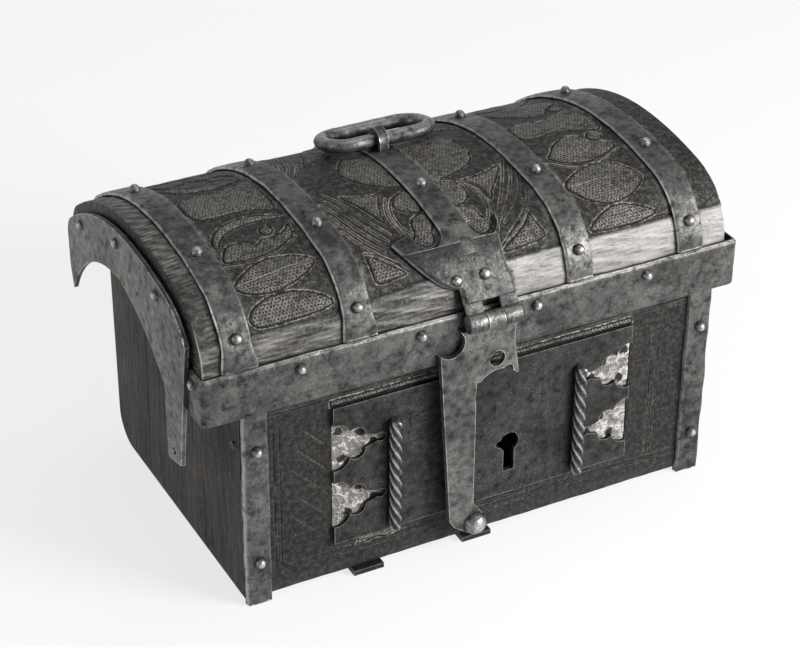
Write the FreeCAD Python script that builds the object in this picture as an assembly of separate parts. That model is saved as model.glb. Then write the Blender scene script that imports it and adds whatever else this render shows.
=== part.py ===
import FreeCAD, Part
import math
import os

# Locked casket with a barrel lid: boards, leather, iron bands, hasp and lock.
# Millimetres. X runs to the right along the front, Y to the back, Z up.
# The origin is the middle of the body's footprint, on the surface that it stands on.

V = FreeCAD.Vector
X_AXIS = V(1, 0, 0)
Y_AXIS = V(0, 1, 0)
Z_AXIS = V(0, 0, 1)

# Body of boards
body_width = 190.0
body_depth = 115.0
body_height = 89.8
end_board_t = 10.0
long_board_t = 9.0
bottom_board_t = 9.0
end_board_proud = 2.5
worn_corner_r = 12.0
right_corner_r = 3.0
front_leather_t = 1.0

# Barrel lid, hollowed from wood and covered with leather
lid_overhang_x = 7.75
lid_overhang_front = 4.8
lid_overhang_back = 0.2
lid_shift_x = -6.2
lid_gap = 0.5
lid_foot_h = 9.0
lid_rise = 38.9
lid_crest_y = -6.0
lid_front_shoulder_r = 26.0
lid_back_shoulder_r = 14.0
lid_wall_t = 12.0
lid_leather_t = 1.2
end_board_clear = 2.5

# Iron bands over the lid and the band along its front rim
band_w = 11.0
band_t = 1.6
band_end_margin = 8.65
band_shift_x = -1.3
band_right_shift = -2.0
band_foot_gap = 0.5
rim_h = 19.0
rim_drop = 8.8
rim_t = 1.8
rim_return = 14.0
rim_rivet_pitch = 45.6
rim_rivet_drop = 4.5
rim_return_rivet = 5.3

# Gable straps on the two open ends of the lid; the left one lies on the rim's return
gable_t = 1.6
gable_gap_right = 1.1
gable_return_gap = 0.4
gable_inset = 4.0
gable_leg_w = 14.2
gable_crown_w = 19.3
gable_tip_drop = 13.3
gable_tongue_drop = 34.0
gable_tongue_w = 11.0
gable_front_w = 22.3
gable_front_deg = 62.0
gable_hole_r = 1.5
gable_rivet_in = 9.0

# Domed rivets and flat-headed nails, with square forged shanks
rivet_head_r = 2.2
rivet_shank_w = 1.6
rivet_shank_l = 6.0
rivet_foot_deg = 27.0
rivet_front_y = -30.0
rivet_back_y = 25.0
centre_rivet_y = -22.4
plate_rivet_spread = 11.0
plate_rivet_shift = -0.8
plate_rivet_run = 3.0
nail_head_r = 1.9
nail_head_h = 0.9
nail_shank_l = 18.0

# Corner strips on the front edges of the end boards
strip_t = 3.0
strip_top_gap = 1.8
strip_rivet_low = 18.0
strip_rivet_high = 65.0

# Back hinges: straps under the bottom and up the back, knuckles and pins
strap_w = 12.0
strap_t = 1.8
foot_t = 2.0
strap_offset = 4.0
strap_front_lip = 1.0
strap_right_short = 8.0
hinge_barrel_r = 3.2
hinge_pin_r = 1.4
hinge_knuckle_l = 5.4
hinge_outer_l = 5.0
knuckle_gap = 0.3
knuckle_clear = 0.35
pin_clear = 0.06
barrel_clear = 0.4
strap_rivet_low = 26.0
strap_rivet_high = 68.0

# Winged hinge plate on the centre band, and the hasp that hangs from it
hasp_barrel_r = 3.3
hasp_pin_r = 1.5
hasp_barrel_l = 20.6
hasp_barrel_shift = 3.3
hasp_barrel_drop = 2.8
wing_half_w = 21.9
wing_shift = -2.9
wing_reach = 15.2
wing_bite_r = 5.4
hasp_t = 2.0
hasp_stand_off = 0.5
hasp_head_h = 25.6
hasp_bite_r = 5.4
hasp_eye_r = 3.1
hasp_notch_r = 2.1
hasp_arch_r = 9.4
hasp_leg_end = 12.0
hasp_leg_top_w = 13.5
hasp_leg_end_w = 9.4
knob_r = 4.6
knob_z = 11.7

# Lock plate on the front
lock_plate_w = 121.5
lock_plate_t = 1.5
lock_plate_foot = 15.5
lock_plate_top_gap = 8.5
window_w = 20.3
window_border = 7.35
window_gap = 5.2
window_eye_r = 1.8
backing_t = 0.7
backing_lap = 1.5
rod_side = 3.6
rod_pitch = 20.0
rod_gap = 0.8
rod_end_gap = 1.2
rod_top_gap = 10.0
rod_step_deg = 24.0
key_x = 9.9
key_z = 37.7
key_head_r = 4.0
key_slot_w = 4.5
key_bit_l = 12.3
key_notch_r = 1.5

# Lock works in a mortise behind the plate
mortise_left = 26.0
mortise_right = 37.0
mortise_low = 20.0
mortise_high = 56.0
lock_cover_t = 1.2
lock_cover_lap = 3.0
bolt_t = 2.2
bolt_clear = 0.2
bolt_nose_h = 3.4
bolt_nose_z = 27.3
bolt_nose_gap = 1.4
bolt_bar_low = 44.0
bolt_bar_h = 6.0
bolt_arm_left = -2.0
bolt_arm_w = 5.0
bolt_right = 33.0
talon_depth = 3.0
staple_x = -13.4
staple_t = 3.0
staple_eye_clear = 0.4
staple_rim = 1.9
staple_end = 1.5
slot_clear = 0.5
slot_end_clear = 1.4
guide_left = 21.8
guide_l = 7.0
guide_wall = 2.0
spring_t = 0.8

# Ring handle on the crown
ring_l = 46.0
ring_d = 25.0
ring_bar_r = 2.7
ring_end_r = 8.0
ring_y = 10.0
ring_shift_x = 3.4
ring_joint_gap = 0.4
ring_rest_clear = 0.6
handle_staple_w = 3.6
handle_staple_wall = 1.8
handle_staple_depth = 9.0
handle_staple_clear = 0.35

# Faces and axes that several pieces share
body_half_w = body_width / 2
front_y = -body_depth / 2
back_y = body_depth / 2
inner_half_w = body_half_w - end_board_t
leather_face_y = front_y - front_leather_t
plate_face_y = leather_face_y - lock_plate_t
strip_face_y = front_y - strip_t
lid_foot = body_height + lid_gap
lid_left = lid_shift_x - body_half_w - lid_overhang_x
lid_right = lid_shift_x + body_half_w + lid_overhang_x
lid_front_y = front_y - lid_overhang_front
lid_back_y = back_y + lid_overhang_back
rim_face_y = lid_front_y - rim_t
rim_low = lid_foot - rim_drop
rim_top = rim_low + rim_h
band_pitch = ((lid_right - lid_left) / 2 - band_end_margin - band_w / 2) / 2
band_foot = rim_top + band_foot_gap
hinge_y = lid_back_y + barrel_clear + hinge_barrel_r
hinge_z = body_height + lid_gap / 2
hasp_x = lid_shift_x + hasp_barrel_shift
hasp_y = rim_face_y - barrel_clear - hasp_barrel_r
hasp_z = rim_top - hasp_barrel_drop
hasp_back_y = rim_face_y - hasp_stand_off
hasp_face_y = hasp_back_y - hasp_t
lock_plate_top = rim_low - lock_plate_top_gap
plate_half = lock_plate_w / 2

# Section of the lid: on each side of the crest a wide arc, a shoulder and a short upright wall
crest_z = lid_foot + lid_rise
spring_z = lid_foot + lid_foot_h
arch_h = crest_z - spring_z
front_shoulder_r = min(lid_front_shoulder_r, 0.87 * arch_h)
back_shoulder_r = min(lid_back_shoulder_r, 0.87 * arch_h)
front_centre_y = lid_front_y + front_shoulder_r
back_centre_y = lid_back_y - back_shoulder_r


def wide_radius(run, shoulder):
    """Radius of the arc that is level at the crest and tangent to a shoulder."""
    return (run ** 2 + arch_h ** 2 - shoulder ** 2) / (2 * (arch_h - shoulder))


front_arc_r = wide_radius(lid_crest_y - front_centre_y, front_shoulder_r)
back_arc_r = wide_radius(back_centre_y - lid_crest_y, back_shoulder_r)
front_turn = math.atan2(lid_crest_y - front_centre_y, front_arc_r - arch_h)
back_turn = math.atan2(back_centre_y - lid_crest_y, back_arc_r - arch_h)


def on_circle(centre_y, centre_z, radius, turn):
    """Point of the section on a circle, turned towards the back from the upright."""
    return V(0, centre_y + radius * math.sin(turn), centre_z + radius * math.cos(turn))


def half_arch(inset, foot, side):
    """Edges from the crest down to the foot on one side, moved in by inset."""
    front = side < 0
    arc_r = (front_arc_r if front else back_arc_r) - inset
    arc_z = crest_z - inset - arc_r
    shoulder = (front_shoulder_r if front else back_shoulder_r) - inset
    turn = front_turn if front else back_turn
    wall_y = lid_front_y + inset if front else lid_back_y - inset
    crest = V(0, lid_crest_y, crest_z - inset)
    low = V(0, wall_y, foot)
    if shoulder > 0.2:
        join = on_circle(lid_crest_y, arc_z, arc_r, side * turn)
        middle = on_circle(lid_crest_y, arc_z, arc_r, side * turn / 2)
        bend = on_circle(front_centre_y if front else back_centre_y, spring_z, shoulder,
                         side * (turn + math.pi / 2) / 2)
        top = V(0, wall_y, spring_z)
        return [Part.Arc(crest, middle, join).toShape(), Part.Arc(join, bend, top).toShape(),
                Part.LineSegment(top, low).toShape()]
    corner_turn = side * math.asin(abs(wall_y - lid_crest_y) / arc_r)
    corner = on_circle(lid_crest_y, arc_z, arc_r, corner_turn)
    middle = on_circle(lid_crest_y, arc_z, arc_r, corner_turn / 2)
    return [Part.Arc(crest, middle, corner).toShape(), Part.LineSegment(corner, low).toShape()]


def arch_solid(inset, foot, left, right):
    """Solid under the lid's section, from left to right."""
    front = half_arch(inset, foot, -1)
    back = half_arch(inset, foot, 1)
    sill = Part.LineSegment(front[-1].Vertexes[-1].Point, back[-1].Vertexes[-1].Point).toShape()
    face = Part.Face(Part.Wire(Part.__sortEdges__(front + back + [sill])))
    face.translate(V(left, 0, 0))
    return face.extrude(V(right - left, 0, 0))


def arch_shell(outer_inset, inner_inset, foot, left, right):
    """Curved wall between two insets of the lid's section."""
    outer = arch_solid(outer_inset, foot, left, right)
    inner = arch_solid(inner_inset, foot - 1, left - 1, right + 1)
    return outer.cut(inner)


def lid_surface(y, proud):
    """Point and outward normal at depth y, on a surface that stands proud of the leather."""
    front = y < lid_crest_y
    arc_r = front_arc_r if front else back_arc_r
    limit = front_turn if front else back_turn
    turn = math.asin((y - lid_crest_y) / arc_r)
    centre = V(0, lid_crest_y, crest_z - arc_r)
    radius = arc_r
    if abs(turn) > limit:
        centre = V(0, front_centre_y if front else back_centre_y, spring_z)
        radius = front_shoulder_r if front else back_shoulder_r
        turn = math.asin((y - centre.y) / radius)
    return on_circle(centre.y, centre.z, radius + proud, turn), V(0, math.sin(turn), math.cos(turn))


# Straight run of the hinge plate from the front shoulder to the hasp's barrel
bridge_outer_r = front_shoulder_r + band_t
bridge_span = math.hypot(front_centre_y - hasp_y, hasp_z - spring_z)
bridge_lean = math.atan2(hasp_z - spring_z, front_centre_y - hasp_y)
bridge_turn = math.asin((bridge_outer_r - hasp_barrel_r) / bridge_span) - bridge_lean
bridge_normal = V(0, -math.sin(bridge_turn), math.cos(bridge_turn))
bridge_onward = V(0, -math.cos(bridge_turn), -math.sin(bridge_turn))


def box(x0, x1, y0, y1, z0, z1):
    """Block between two corners."""
    return Part.makeBox(x1 - x0, y1 - y0, z1 - z0, V(x0, y0, z0))


def rod_along_x(radius, x0, x1, y, z):
    """Round bar along X."""
    return Part.makeCylinder(radius, x1 - x0, V(x0, y, z), X_AXIS)


def front_prism(points, y0, y1):
    """Plate with an outline in X and Z, from y0 to y1."""
    corners = [V(x, y0, z) for x, z in points]
    face = Part.Face(Part.makePolygon(corners + corners[:1]))
    return face.extrude(V(0, y1 - y0, 0))


def front_hole(x, z, radius, y0, y1):
    """Round hole through a plate on the front."""
    return Part.makeCylinder(radius, y1 - y0, V(x, y0, z), Y_AXIS)


def stand_on(shape, point, normal):
    """Shape that was made upright at the origin, moved to a point and along a normal."""
    shape.Placement = FreeCAD.Placement(point, FreeCAD.Rotation(Z_AXIS, normal))
    return shape


def shank_stem(length):
    """Square forged shank that hangs down from the origin."""
    half = rivet_shank_w / 2
    return box(-half, half, -half, half, -length, 0)


def octagon(radius, z):
    """Level outline with eight sides."""
    turns = [math.radians(45 * i) for i in range(9)]
    return Part.makePolygon([V(radius * math.cos(t), radius * math.sin(t), z) for t in turns])


def rivet(point, normal):
    """Head hammered in eight facets and flattened on top, on a shank that goes into the wood."""
    rings = [octagon(rivet_head_r, 0), octagon(rivet_head_r * 0.6, rivet_head_r * 0.8)]
    head = Part.makeLoft(rings, True, True)
    return stand_on(head.fuse(shank_stem(rivet_shank_l)).Solids[0], point, normal)


def rivet_hole(point, normal):
    """Hole for the shank of a rivet."""
    return stand_on(shank_stem(rivet_shank_l).Solids[0], point, normal)


def nail(point, normal):
    """Low-headed nail through an end board into the board behind it."""
    rings = [octagon(nail_head_r, 0), octagon(nail_head_r * 0.8, nail_head_h)]
    head = Part.makeLoft(rings, True, True)
    return stand_on(head.fuse(shank_stem(nail_shank_l)).Solids[0], point, normal)


def nail_hole(point, normal):
    """Hole for the shank of a nail."""
    return stand_on(shank_stem(nail_shank_l).Solids[0], point, normal)


def group(maker, places):
    """Copies of one fastener, or of its hole, at several places."""
    return Part.makeCompound([maker(point, normal) for point, normal in places])


def lid_places(x, depths):
    """Rivets in a row over the lid on the band at x."""
    places = []
    for y in depths:
        point, normal = lid_surface(y, band_t)
        places.append((V(x, point.y, point.z), normal))
    return places


# Places of the bands and of every rivet
band_mid_x = lid_shift_x + band_shift_x
band_x = [band_mid_x + i * band_pitch for i in range(-2, 3)]
band_x[3] += band_right_shift
foot_turn = math.radians(90 - rivet_foot_deg)
foot_front_y = front_centre_y - front_shoulder_r * math.sin(foot_turn)
foot_back_y = back_centre_y + back_shoulder_r * math.sin(foot_turn)
band_places = []
for i in (0, 1, 3, 4):
    band_places += lid_places(band_x[i], [foot_front_y, rivet_front_y, rivet_back_y, foot_back_y])
band_places += lid_places(band_x[2], [centre_rivet_y, foot_back_y])
plate_seat = V(band_mid_x + plate_rivet_shift, front_centre_y, spring_z)
plate_seat = plate_seat + bridge_normal * bridge_outer_r + bridge_onward * plate_rivet_run
for side in (-1, 1):
    band_places.append((plate_seat + X_AXIS * (side * plate_rivet_spread / 2), bridge_normal))

gable_left_face = lid_left - rim_t - gable_t
gable_right_face = lid_right + gable_gap_right + gable_t
return_right_face = gable_right_face + gable_return_gap + rim_t
rim_rivet_z = rim_top - rim_rivet_drop
return_rivet_y = lid_front_y + rim_return_rivet
rim_places = [(V(lid_left - rim_t, return_rivet_y, rim_rivet_z), V(-1, 0, 0)),
              (V(return_right_face, return_rivet_y, rim_rivet_z), V(1, 0, 0))]
for i in (-1.5, -0.5, 0.5, 1.5):
    rim_places.append((V(lid_shift_x + i * rim_rivet_pitch, rim_face_y, rim_rivet_z), V(0, -1, 0)))

gable_places = []
for y in (front_centre_y + 4.0, lid_crest_y + 9.5, back_centre_y - 4.5):
    z = lid_surface(y, 0)[0].z - gable_rivet_in
    gable_places.append((V(gable_left_face, y, z), V(-1, 0, 0)))
    gable_places.append((V(gable_right_face, y, z), V(1, 0, 0)))

strip_mid_x = body_half_w - end_board_t / 2
strip_places = []
for side in (-1, 1):
    for z in (strip_rivet_low, strip_rivet_high):
        strip_places.append((V(side * strip_mid_x, strip_face_y, z), V(0, -1, 0)))

strap_x = [band_x[i] + strap_offset for i in (1, 2, 3)]
hinge_x = [band_x[i] + strap_offset / 2 for i in (1, 2, 3)]
strap_places = []
for x in strap_x:
    for z in (strap_rivet_low, strap_rivet_high):
        strap_places.append((V(x, back_y + strap_t, z), V(0, 1, 0)))

nail_y = front_y + long_board_t / 2
nail_places = [(V(s * body_half_w, nail_y, strip_rivet_high), V(s, 0, 0)) for s in (-1, 1)]
strip_holes = group(rivet_hole, strip_places)
strap_holes = group(rivet_hole, strap_places)
nail_holes = group(nail_hole, nail_places)
parts = {}


# Boards of the body
def end_board(x0, x1, corner_r):
    """End board whose arched head stands up inside the lid, with a worn lower back corner."""
    edge_y = back_y + end_board_proud
    bend = corner_r * (1 - math.sqrt(0.5))
    start = V(x0, edge_y, foot_t + corner_r)
    middle = V(x0, edge_y - bend, foot_t + bend)
    end = V(x0, edge_y - corner_r, foot_t)
    outline = [end, V(x0, front_y, foot_t), V(x0, front_y, body_height), V(x0, edge_y, body_height), start]
    edges = Part.makePolygon(outline).Edges + [Part.Arc(start, middle, end).toShape()]
    board = Part.Face(Part.Wire(Part.__sortEdges__(edges))).extrude(V(x1 - x0, 0, 0))
    head_inset = lid_leather_t + lid_wall_t + end_board_clear
    return board.fuse(arch_solid(head_inset, body_height - 1, x0, x1)).removeSplitter()


left_board = end_board(-body_half_w, -inner_half_w, worn_corner_r)
right_board = end_board(inner_half_w, body_half_w, right_corner_r)
parts["left_end_board"] = left_board.cut(strip_holes).cut(nail_holes)
parts["right_end_board"] = right_board.cut(strip_holes).cut(nail_holes)
board_in_y = front_y + long_board_t
front_board = box(-inner_half_w, inner_half_w, front_y, board_in_y, foot_t, body_height)
mortise = box(-mortise_left, mortise_right, leather_face_y - 1, board_in_y + 1, mortise_low, mortise_high)
parts["front_board"] = front_board.cut(mortise).cut(nail_holes)
back_board = box(-inner_half_w, inner_half_w, back_y - long_board_t, back_y, foot_t, body_height)
parts["back_board"] = back_board.cut(strap_holes)
parts["bottom_board"] = box(-inner_half_w, inner_half_w, board_in_y, back_y - long_board_t,
                            foot_t, foot_t + bottom_board_t)
parts["board_nails"] = group(nail, nail_places)


def corner_strip(side):
    """Bar on the front edge of an end board, which reaches the floor as a foot."""
    ends = sorted((side * inner_half_w, side * body_half_w))
    bar = box(ends[0], ends[1], strip_face_y, front_y, 0, body_height - strip_top_gap)
    return bar.cut(strip_holes)


parts["corner_strip_left"] = corner_strip(-1)
parts["corner_strip_right"] = corner_strip(1)
parts["strip_rivets"] = group(rivet, strip_places)

# Leather on the front, cut away for the lock and for the backing of the windows
window_h = (lock_plate_top - lock_plate_foot - 2 * window_border - window_gap) / 2
window_mid = (lock_plate_foot + lock_plate_top) / 2
window_reach = window_h + window_gap / 2 + backing_lap


def backing(side):
    """Pale sheet behind the openings at one end of the lock plate."""
    ends = sorted((side * plate_half, side * (plate_half - window_w - backing_lap)))
    return box(ends[0], ends[1], leather_face_y, leather_face_y + backing_t,
               window_mid - window_reach, window_mid + window_reach)


parts["tracery_backing_left"] = backing(-1)
parts["tracery_backing_right"] = backing(1)
front_leather = box(-inner_half_w, inner_half_w, leather_face_y, front_y, foot_t, body_height)
front_leather = front_leather.cut(mortise).cut(parts["tracery_backing_left"])
parts["front_leather"] = front_leather.cut(parts["tracery_backing_right"])


# Lock plate with cusped openings, keyhole and a slot for the staple of the hasp
def cusped_opening(side, centre_z):
    """Half flame, open at the plate's end: four round lobes that meet in cusps, and a round eye."""
    y0 = plate_face_y - 1
    depth = lock_plate_t + 2
    edge = side * plate_half
    eye_in = window_w - window_eye_r
    high = window_h / 2
    mouth = window_eye_r / 2

    def at(run, rise):
        """Point of the opening, run inwards from the plate's end."""
        return V(edge - side * run, y0, centre_z + rise)

    def lobes(sign):
        """Two round lobes and the narrowing towards the eye, above or below the middle."""
        outer = at(0, sign * high)
        first_cusp = at(6.3, 0.57 * sign * high)
        second_cusp = at(12.4, 0.3 * sign * high)
        return [
            Part.LineSegment(at(-1, sign * high), outer).toShape(),
            Part.Arc(outer, at(4.2, 0.91 * sign * high), first_cusp).toShape(),
            Part.Arc(first_cusp, at(10.4, 0.66 * sign * high), second_cusp).toShape(),
            Part.LineSegment(second_cusp, at(eye_in, sign * mouth)).toShape(),
        ]

    ends = [Part.LineSegment(at(-1, high), at(-1, -high)).toShape(),
            Part.LineSegment(at(eye_in, mouth), at(eye_in, -mouth)).toShape()]
    wire = Part.Wire(Part.__sortEdges__(lobes(1) + lobes(-1) + ends))
    opening = Part.Face(wire).extrude(V(0, depth, 0))
    return opening.fuse(front_hole(edge - side * eye_in, centre_z, window_eye_r, y0, y0 + depth))


def keyhole():
    """Round head for the key's shank, a slot below it for the bit and a nick at the side."""
    y0 = plate_face_y - 1
    y1 = leather_face_y + 1
    half = key_slot_w / 2
    head = front_hole(key_x, key_z, key_head_r, y0, y1)
    slot = box(key_x - half, key_x + half, y0, y1, key_z - key_bit_l, key_z)
    return head.fuse(slot).fuse(front_hole(key_x - key_head_r, key_z, key_notch_r, y0, y1))


# The slot is tall enough for the staple to leave it on the lid's own arc as well
staple_half_h = bolt_nose_h / 2 + staple_eye_clear + staple_rim
staple_low = bolt_nose_z - staple_half_h
staple_high = bolt_nose_z + staple_half_h
bolt_front_y = leather_face_y + bolt_clear
bolt_back_y = bolt_front_y + bolt_t
staple_tip_y = bolt_back_y + staple_eye_clear + staple_end
tip_arm = math.hypot(hinge_y - staple_tip_y, hinge_z - staple_high)
slot_high = hinge_z - math.sqrt(tip_arm ** 2 - (hinge_y - plate_face_y) ** 2) + slot_end_clear
slot_low = staple_low - slot_end_clear
slot_half = staple_t / 2 + slot_clear

lock_plate = box(-plate_half, plate_half, plate_face_y, leather_face_y, lock_plate_foot, lock_plate_top)
for side in (-1, 1):
    for level in (-1, 1):
        lock_plate = lock_plate.cut(cusped_opening(side, window_mid + level * (window_h + window_gap) / 2))
staple_slot = box(staple_x - slot_half, staple_x + slot_half, plate_face_y - 1, leather_face_y + 1,
                  slot_low, slot_high)
parts["lock_plate"] = lock_plate.cut(keyhole()).cut(staple_slot)


def twisted_rod(x):
    """Square bar twisted like a rope, lying against the lock plate."""
    reach = rod_side / math.sqrt(2)
    bottom = lock_plate_foot + rod_end_gap
    length = lock_plate_top - rod_top_gap - bottom
    count = round(length / rod_pitch * 360 / rod_step_deg)
    rings = []
    for i in range(count + 1):
        z = bottom + length * i / count
        turns = [math.radians(quarter - i * rod_step_deg) for quarter in (0, 90, 180, 270, 360)]
        rings.append([V(x + reach * math.cos(t), plate_face_y - reach + reach * math.sin(t), z) for t in turns])
    faces = [Part.Face(Part.makePolygon(ring)) for ring in (rings[0], rings[-1])]
    for low, high in zip(rings, rings[1:]):
        for side in range(4):
            corner = high[side + 1]
            faces.append(Part.Face(Part.makePolygon([low[side], low[side + 1], corner, low[side]])))
            faces.append(Part.Face(Part.makePolygon([low[side], corner, high[side], low[side]])))
    return Part.makeSolid(Part.makeShell(faces))


rod_x = plate_half - window_w - rod_gap - rod_side / 2
parts["twisted_rod_left"] = twisted_rod(-rod_x)
parts["twisted_rod_right"] = twisted_rod(rod_x)

# Lock works: bolt, guide, spring and the cover inside the box
bolt_tip = staple_x + staple_t / 2 + bolt_nose_gap
nose_low = bolt_nose_z - bolt_nose_h / 2
nose_high = bolt_nose_z + bolt_nose_h / 2
arm_right = bolt_arm_left + bolt_arm_w
bar_high = bolt_bar_low + bolt_bar_h
talon_half = key_slot_w / 2 + bolt_clear
bolt_outline = [
    (bolt_tip, nose_low),
    (arm_right, nose_low),
    (arm_right, bolt_bar_low),
    (key_x - talon_half, bolt_bar_low),
    (key_x - talon_half + 1, bolt_bar_low + talon_depth),
    (key_x + talon_half - 1, bolt_bar_low + talon_depth),
    (key_x + talon_half, bolt_bar_low),
    (bolt_right, bolt_bar_low),
    (bolt_right, bar_high),
    (bolt_arm_left, bar_high),
    (bolt_arm_left, nose_high),
    (bolt_tip, nose_high),
]
parts["lock_bolt"] = front_prism(bolt_outline, bolt_front_y, bolt_back_y)

guide_right = guide_left + guide_l
guide_low = bolt_bar_low - bolt_clear
guide_high = bar_high + bolt_clear
guide_in_y = bolt_back_y + bolt_clear
guide = box(guide_left, guide_right, leather_face_y, guide_in_y + guide_wall,
            guide_low - guide_wall, guide_high + guide_wall)
parts["bolt_guide"] = guide.cut(box(guide_left - 1, guide_right + 1, leather_face_y - 1, guide_in_y,
                                    guide_low, guide_high))

spring_high = mortise_high - 0.5
spring_low = guide_high + guide_wall + bolt_clear
spring_tip = key_x - key_head_r
spring_outline = [
    (bolt_right + 3.0, spring_high),
    (guide_right, spring_high),
    (guide_right, spring_low + spring_t),
    (guide_left - 1.0, spring_low + spring_t),
    (spring_tip + 2.0, bar_high + bolt_clear + spring_t),
    (spring_tip, bar_high + 2 * spring_t),
    (spring_tip, bar_high + spring_t),
    (spring_tip + 2.0, bar_high + bolt_clear),
    (guide_left - 0.6, spring_low),
    (bolt_right + 3.0, spring_low),
]
parts["bolt_spring"] = front_prism(spring_outline, leather_face_y, bolt_back_y)
parts["lock_cover"] = box(-mortise_left - lock_cover_lap, mortise_right + lock_cover_lap,
                          board_in_y, board_in_y + lock_cover_t,
                          mortise_low - lock_cover_lap, mortise_high + lock_cover_lap)


# Back hinges
def hinge_strap(index, front_end):
    """Strap that runs under the bottom and up the back to the two outer knuckles."""
    mid = hinge_x[index]
    left = strap_x[index] - strap_w / 2
    right = strap_x[index] + strap_w / 2
    near = hinge_knuckle_l / 2 + knuckle_gap
    far = near + hinge_outer_l
    strap = box(left, right, back_y, back_y + strap_t, 0, hinge_z)
    strap = strap.fuse(box(left, right, front_end, back_y + strap_t, 0, foot_t))
    head_low = hinge_z - 2 * hinge_barrel_r
    for x0, x1 in ((mid - far, mid - near), (mid + near, mid + far)):
        strap = strap.fuse(box(x0, x1, back_y, back_y + strap_t, head_low, hinge_z))
        strap = strap.fuse(rod_along_x(hinge_barrel_r, x0, x1, hinge_y, hinge_z))
    strap = strap.cut(rod_along_x(hinge_barrel_r + knuckle_clear, mid - near, mid + near, hinge_y, hinge_z))
    strap = strap.cut(rod_along_x(hinge_pin_r, mid - far, mid + far, hinge_y, hinge_z))
    return strap.cut(strap_holes).removeSplitter()


def hinge_pin(index):
    """Pin through one back hinge."""
    half = hinge_knuckle_l / 2 + knuckle_gap + hinge_outer_l
    return rod_along_x(hinge_pin_r, hinge_x[index] - half, hinge_x[index] + half, hinge_y, hinge_z)


strap_tab_y = strip_face_y - strap_front_lip
parts["hinge_strap_left"] = hinge_strap(0, strap_tab_y)
parts["hinge_strap_centre"] = hinge_strap(1, strap_tab_y)
parts["hinge_strap_right"] = hinge_strap(2, front_y + strap_right_short)
parts["hinge_pins"] = Part.makeCompound([hinge_pin(i) for i in range(3)])
parts["hinge_strap_rivets"] = group(rivet, strap_places)

# Staple of the ring, whose legs go through the centre band into the lid
ring_seat = lid_surface(ring_y, band_t)[0].z
eye_r = ring_bar_r + handle_staple_clear
eye_z = ring_seat + eye_r


def handle_staple():
    """Flat staple on the crown: a round head over the ring's bar and two legs into the lid."""
    outer_r = eye_r + handle_staple_wall
    left = band_mid_x - handle_staple_w / 2
    right = band_mid_x + handle_staple_w / 2
    low = ring_seat - handle_staple_depth
    head = rod_along_x(outer_r, left, right, ring_y, eye_z)
    head = head.fuse(box(left, right, ring_y - outer_r, ring_y + outer_r, low, eye_z))
    head = head.cut(rod_along_x(eye_r, left - 1, right + 1, ring_y, eye_z))
    slot = box(left - 1, right + 1, ring_y - eye_r, ring_y + eye_r, low - 1, eye_z)
    return head.cut(slot).removeSplitter()


parts["handle_staple"] = handle_staple()
lid_holes = Part.makeCompound([group(rivet_hole, band_places), group(rivet_hole, rim_places),
                               group(rivet_hole, gable_places), parts["handle_staple"]])

# Lid of wood with its leather
lid_shell = arch_shell(lid_leather_t, lid_leather_t + lid_wall_t, lid_foot, lid_left, lid_right)
parts["lid_shell"] = lid_shell.cut(lid_holes)
lid_leather = arch_shell(0, lid_leather_t, lid_foot, lid_left, lid_right)
parts["lid_leather"] = lid_leather.cut(lid_holes)


def plain_band(index):
    """Band over the lid from just above the rim to the foot of the back."""
    left = band_x[index] - band_w / 2
    right = band_x[index] + band_w / 2
    band = arch_shell(-band_t, 0, lid_foot + band_foot_gap, left, right)
    front = box(left - 1, right + 1, lid_front_y - 5, lid_crest_y, lid_foot - 5, band_foot)
    return band.cut(front).cut(lid_holes)


def with_knuckle(band, index):
    """Band narrowed at the back to a tongue that carries the middle knuckle."""
    left = hinge_x[index - 1] - hinge_knuckle_l / 2
    right = hinge_x[index - 1] + hinge_knuckle_l / 2
    trim_high = hinge_z + hinge_barrel_r + 1.0
    trim = box(band_x[index] - band_w, band_x[index] + band_w, lid_crest_y, lid_back_y + 5,
               lid_foot - 5, trim_high)
    tongue = box(left, right, lid_back_y, lid_back_y + band_t, hinge_z + knuckle_gap, trim_high)
    knuckle = rod_along_x(hinge_barrel_r, left, right, hinge_y, hinge_z)
    band = band.cut(trim).fuse(tongue).fuse(knuckle)
    return band.cut(rod_along_x(hinge_pin_r + pin_clear, left - 1, right + 1, hinge_y, hinge_z))


parts["lid_band_far_left"] = plain_band(0)
parts["lid_band_left"] = with_knuckle(plain_band(1), 1)
parts["lid_band_right"] = with_knuckle(plain_band(3), 3)
parts["lid_band_far_right"] = plain_band(4)


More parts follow.
